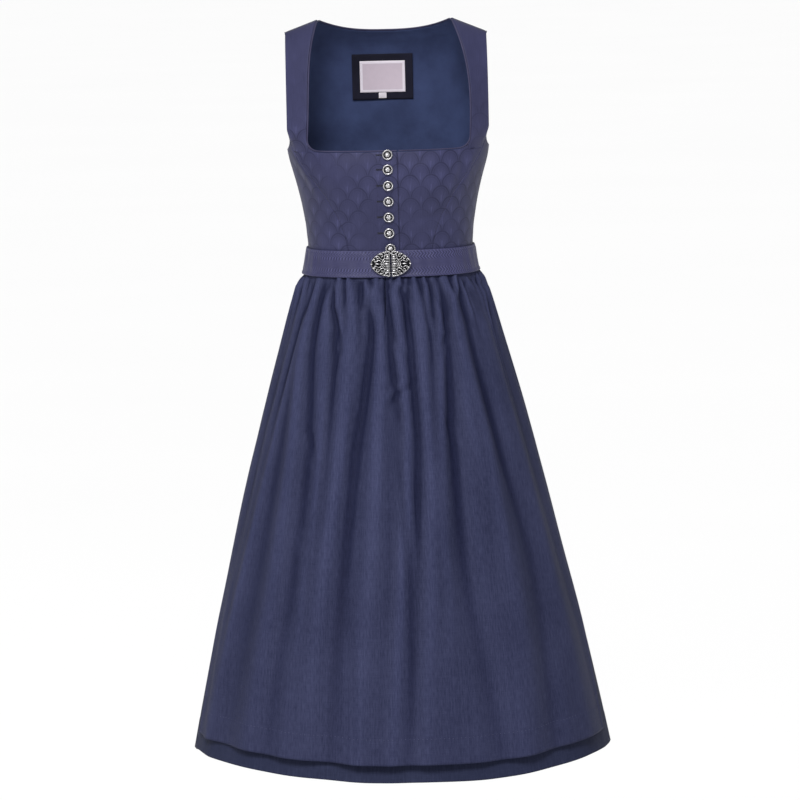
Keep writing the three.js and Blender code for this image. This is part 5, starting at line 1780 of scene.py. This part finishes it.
# Each vein's start, end, bow, thickness and height over the plate
VEINS = (
    ((1.0, 3.5), (8.6, 3.5), 0.0, 1.0, 1.0),
    ((1.0, 5.8), (8.4, 5.8), 0.0, 0.9, 0.8),
    ((8.8, 4.6), (12.2, 0.0), 0.2, 0.65, 2.0),
    ((9.6, 7.8), (15.0, 0.0), 0.2, 0.7, 2.1),
    ((1.0, 7.8), (9.6, 7.8), 0.0, 0.5, 1.7),
    ((9.0, 7.8), (8.9, 12.8), -0.3, 0.6, 1.9),
    ((1.0, 13.2), (8.9, 12.8), 0.3, 0.55, 1.9),
    ((11.8, 6.2), (18.0, 11.0), -1.0, 0.6, 1.9),
    ((14.6, 3.4), (18.4, 5.6), 0.4, 0.55, 1.9),
    ((18.4, 5.6), (24.4, 3.0), -0.5, 0.55, 1.9),
)
KNOBS = ((4.4, 18.5), (10.4, 17.3), (16.2, 14.7), (21.8, 10.7), (26.8, 6.0))
WINDOWS = (
    ((9.4, 8.4), (12.6, 8.2), (14.2, 10.2), (11.8, 11.6), (9.4, 11)),
    ((2.0, 8.0), (6.9, 8.0), (6.9, 11.9), (2.0, 11.9)),
    ((16.4, 2.4), (22.6, 2.4), (20.6, 4.2), (18.0, 4.2)),
    ((15.6, 8.2), (18.8, 7.4), (18.2, 8.6)),
)
# Polished beads: place, half-width, half-height and rise
BEADS = (
    ((6.1, 0.0), 4.9, 1.75, 2.6),
    ((4.7, 10.4), 2.9, 1.75, 2.3),
    ((20.2, 0.0), 3.8, 1.4, 2.2),
    ((28.9, 0.0), 2.0, 1.2, 1.6),
)


def clasp_plate(name, side):
    """The half's flat plate with its windows cut through."""
    curve = bpy.data.curves.new(name + "_plate", "CURVE")
    curve.dimensions = "2D"
    curve.fill_mode = "BOTH"
    curve.extrude = PLATE_HALF * MM
    curve.bevel_depth = PLATE_BEVEL * MM
    curve.bevel_resolution = 1
    outlines = [clasp_outline(PLATE_INSET)]
    for corners in WINDOWS:
        outlines.append(corners)
        outlines.append([(px, -pz) for px, pz in corners])
    for outline in outlines:
        spline = curve.splines.new("POLY")
        spline.points.add(len(outline) - 1)
        for i, (px, pz) in enumerate(outline):
            spline.points[i].co = (side * px * MM, pz * MM, 0, 1)
        spline.use_cyclic_u = True
    plate = settle(name + "_plate", in_scene(name + "_plate", curve), SILVER)
    flat = np.array([v.co for v in plate.data.vertices]) / MM
    placed = on_clasp(flat[:, 0], flat[:, 1], flat[:, 2] + PLATE_HEIGHT) * MM
    plate.data.vertices.foreach_set("co", placed.ravel())
    set_worn(plate.data, np.full(len(flat), PLATE_WORN))
    return plate


def bead_mesh(name, x, z, wide, high, rise):
    """A polished bead: the upper part of a long dome."""
    work = bmesh.new()
    bmesh.ops.create_uvsphere(work, u_segments=24, v_segments=14, radius=1)
    mesh = bpy.data.meshes.new(name)
    work.to_mesh(mesh)
    work.free()
    unit = np.array([v.co for v in mesh.vertices])
    placed = on_clasp(x + unit[:, 0] * wide, z + unit[:, 1] * high, 1.6 + unit[:, 2] * rise) * MM
    mesh.vertices.foreach_set("co", placed.ravel())
    set_worn(mesh, np.clip(0.6 + 0.6 * unit[:, 2], 0, 1))
    return in_scene(name, mesh)


def clasp_half(name, side):
    """One half of the clasp: plate, rim, curls, veins and beads."""
    lines, radii = [], []

    def add_line(points, thick, thin):
        flat = np.asarray(points, float)
        lines.append(on_clasp(side * flat[:, 0], flat[:, 1], flat[:, 2]))
        radii.append(np.linspace(thick, thin, len(flat)))

    rim = clasp_outline(RIM_INSET)
    add_line([(px, pz, RIM_HEIGHT) for px, pz in [*rim, rim[0]]], RIM_WIRE, RIM_WIRE)
    for up in (1, -1):
        for curl in CURLS:
            add_line(scroll(*curl) * (1, up, 1), *CURL_WIRE)
        for start, stop, bow, thick, out in VEINS:
            add_line(bowed(start, stop, bow, out) * (1, up, 1), thick, thick)
    wires = tube(name + "_wires", lines, 1, SILVER, radii)
    _, y, z = np.array([v.co for v in wires.data.vertices]).T / MM
    out = (CLASP_PLACE[1] - y) * math.cos(CLASP_TILT) - (z - CLASP_PLACE[2]) * math.sin(CLASP_TILT)
    set_worn(wires.data, np.clip((out - 1.4) / 1.8, 0.05, 0.9))
    parts = [clasp_plate(name, side), wires]
    rounds = [*BEADS, *((place, *KNOB_SIZE) for place in KNOBS)]
    for number, ((x, z), wide, high, rise) in enumerate(rounds):
        for up in ((1, -1) if z else (1,)):
            parts.append(bead_mesh(f"{name}_bead_{number}_{up}", side * x, up * z, wide, high, rise))
    piece = join(name, parts, SILVER)
    dress(piece, "silver", name)


# Everything in its order
bodice_front(-1, "bodice_front_right")
bodice_front(1, "bodice_front_left")
bodice_side(-1, "bodice_side_right")
bodice_side(1, "bodice_side_left")
bodice_back()
lining_back()
flat_inside("label_patch", PATCH_EDGES, PATCH_DEPTH, PATCH_WALL, PATCH, "patch")
flat_inside("label", LABEL_EDGES, LABEL_DEPTH, LABEL_WALL, LABEL, "label", curl=0.5)
flat_inside("size_tab", TAB_EDGES, LABEL_DEPTH, LABEL_WALL, TAB, "label")
piping()
apron_skirt()
skirt_front()
skirt_back()
apron_band()
stitching()
buttons()
clasp_half("clasp_right", -1)
clasp_half("clasp_left", 1)

# Floor, light and camera, in metres
FLOOR_Z = -1.8
FLOOR_HALF = 200
SKY_STRENGTH = 0.38
SUN_POWER = 2.9
SUN_SPREAD = 18
SUN_WAY = (0.13, 0.83, -0.84)
KEY_POWER = 25
KEY_SIZE = (0.9, 1.4)
KEY_PLACE = Vector((-2.4, -3.0, 1.6))
KEY_AIM = Vector((0, 0, -0.5))
CAMERA_PLACE = Vector((0.009, -6.8, 0.290))
CAMERA_AIM = Vector((0.009, 0, -0.545))
CAMERA_ROLL = 1.32
CAMERA_LENS = 201.96

floor_corners = np.array([(-1, -1, 0), (1, -1, 0), (1, 1, 0), (-1, 1, 0)]) * FLOOR_HALF / MM
floor_mesh = clean_mesh("floor", floor_corners, [(0, 1, 2, 3)])
floor_mesh.transform(Matrix.Translation((0, 0, FLOOR_Z)))
floor_mesh.materials.append(floor_finish("pale_floor"))
floor = in_scene("floor", floor_mesh)

world = bpy.data.worlds.new("studio")
world.use_nodes = True
world.node_tree.nodes["Background"].inputs["Color"].default_value = (1.0, 1.0, 1.0, 1)
world.node_tree.nodes["Background"].inputs["Strength"].default_value = SKY_STRENGTH
bpy.context.scene.world = world


def lamp(name, kind, way, power):
    """A light that shines along way."""
    light = bpy.data.lights.new(name, kind)
    light.energy = power
    made = in_scene(name, light)
    made.rotation_euler = Vector(way).to_track_quat("-Z", "Y").to_euler()
    return made


key = lamp("key", "AREA", KEY_AIM - KEY_PLACE, KEY_POWER)
key.location = KEY_PLACE
key.data.shape = "RECTANGLE"
key.data.size, key.data.size_y = KEY_SIZE
window = lamp("window", "SUN", SUN_WAY, SUN_POWER)
window.data.angle = SUN_SPREAD * DEGREE

camera = in_scene("camera", bpy.data.cameras.new("camera"))
camera.data.lens = CAMERA_LENS
camera.data.sensor_width = 36
camera.data.clip_end = 400
facing = (CAMERA_AIM - CAMERA_PLACE).to_track_quat("-Z", "Y").to_matrix()
turn = (facing @ Matrix.Rotation(-CAMERA_ROLL * DEGREE, 3, "Z")).to_4x4()
camera.matrix_world = Matrix.Translation(CAMERA_PLACE) @ turn
bpy.context.scene.camera = camera
bpy.context.scene.view_settings.view_transform = "Standard"

bpy.context.view_layer.update()
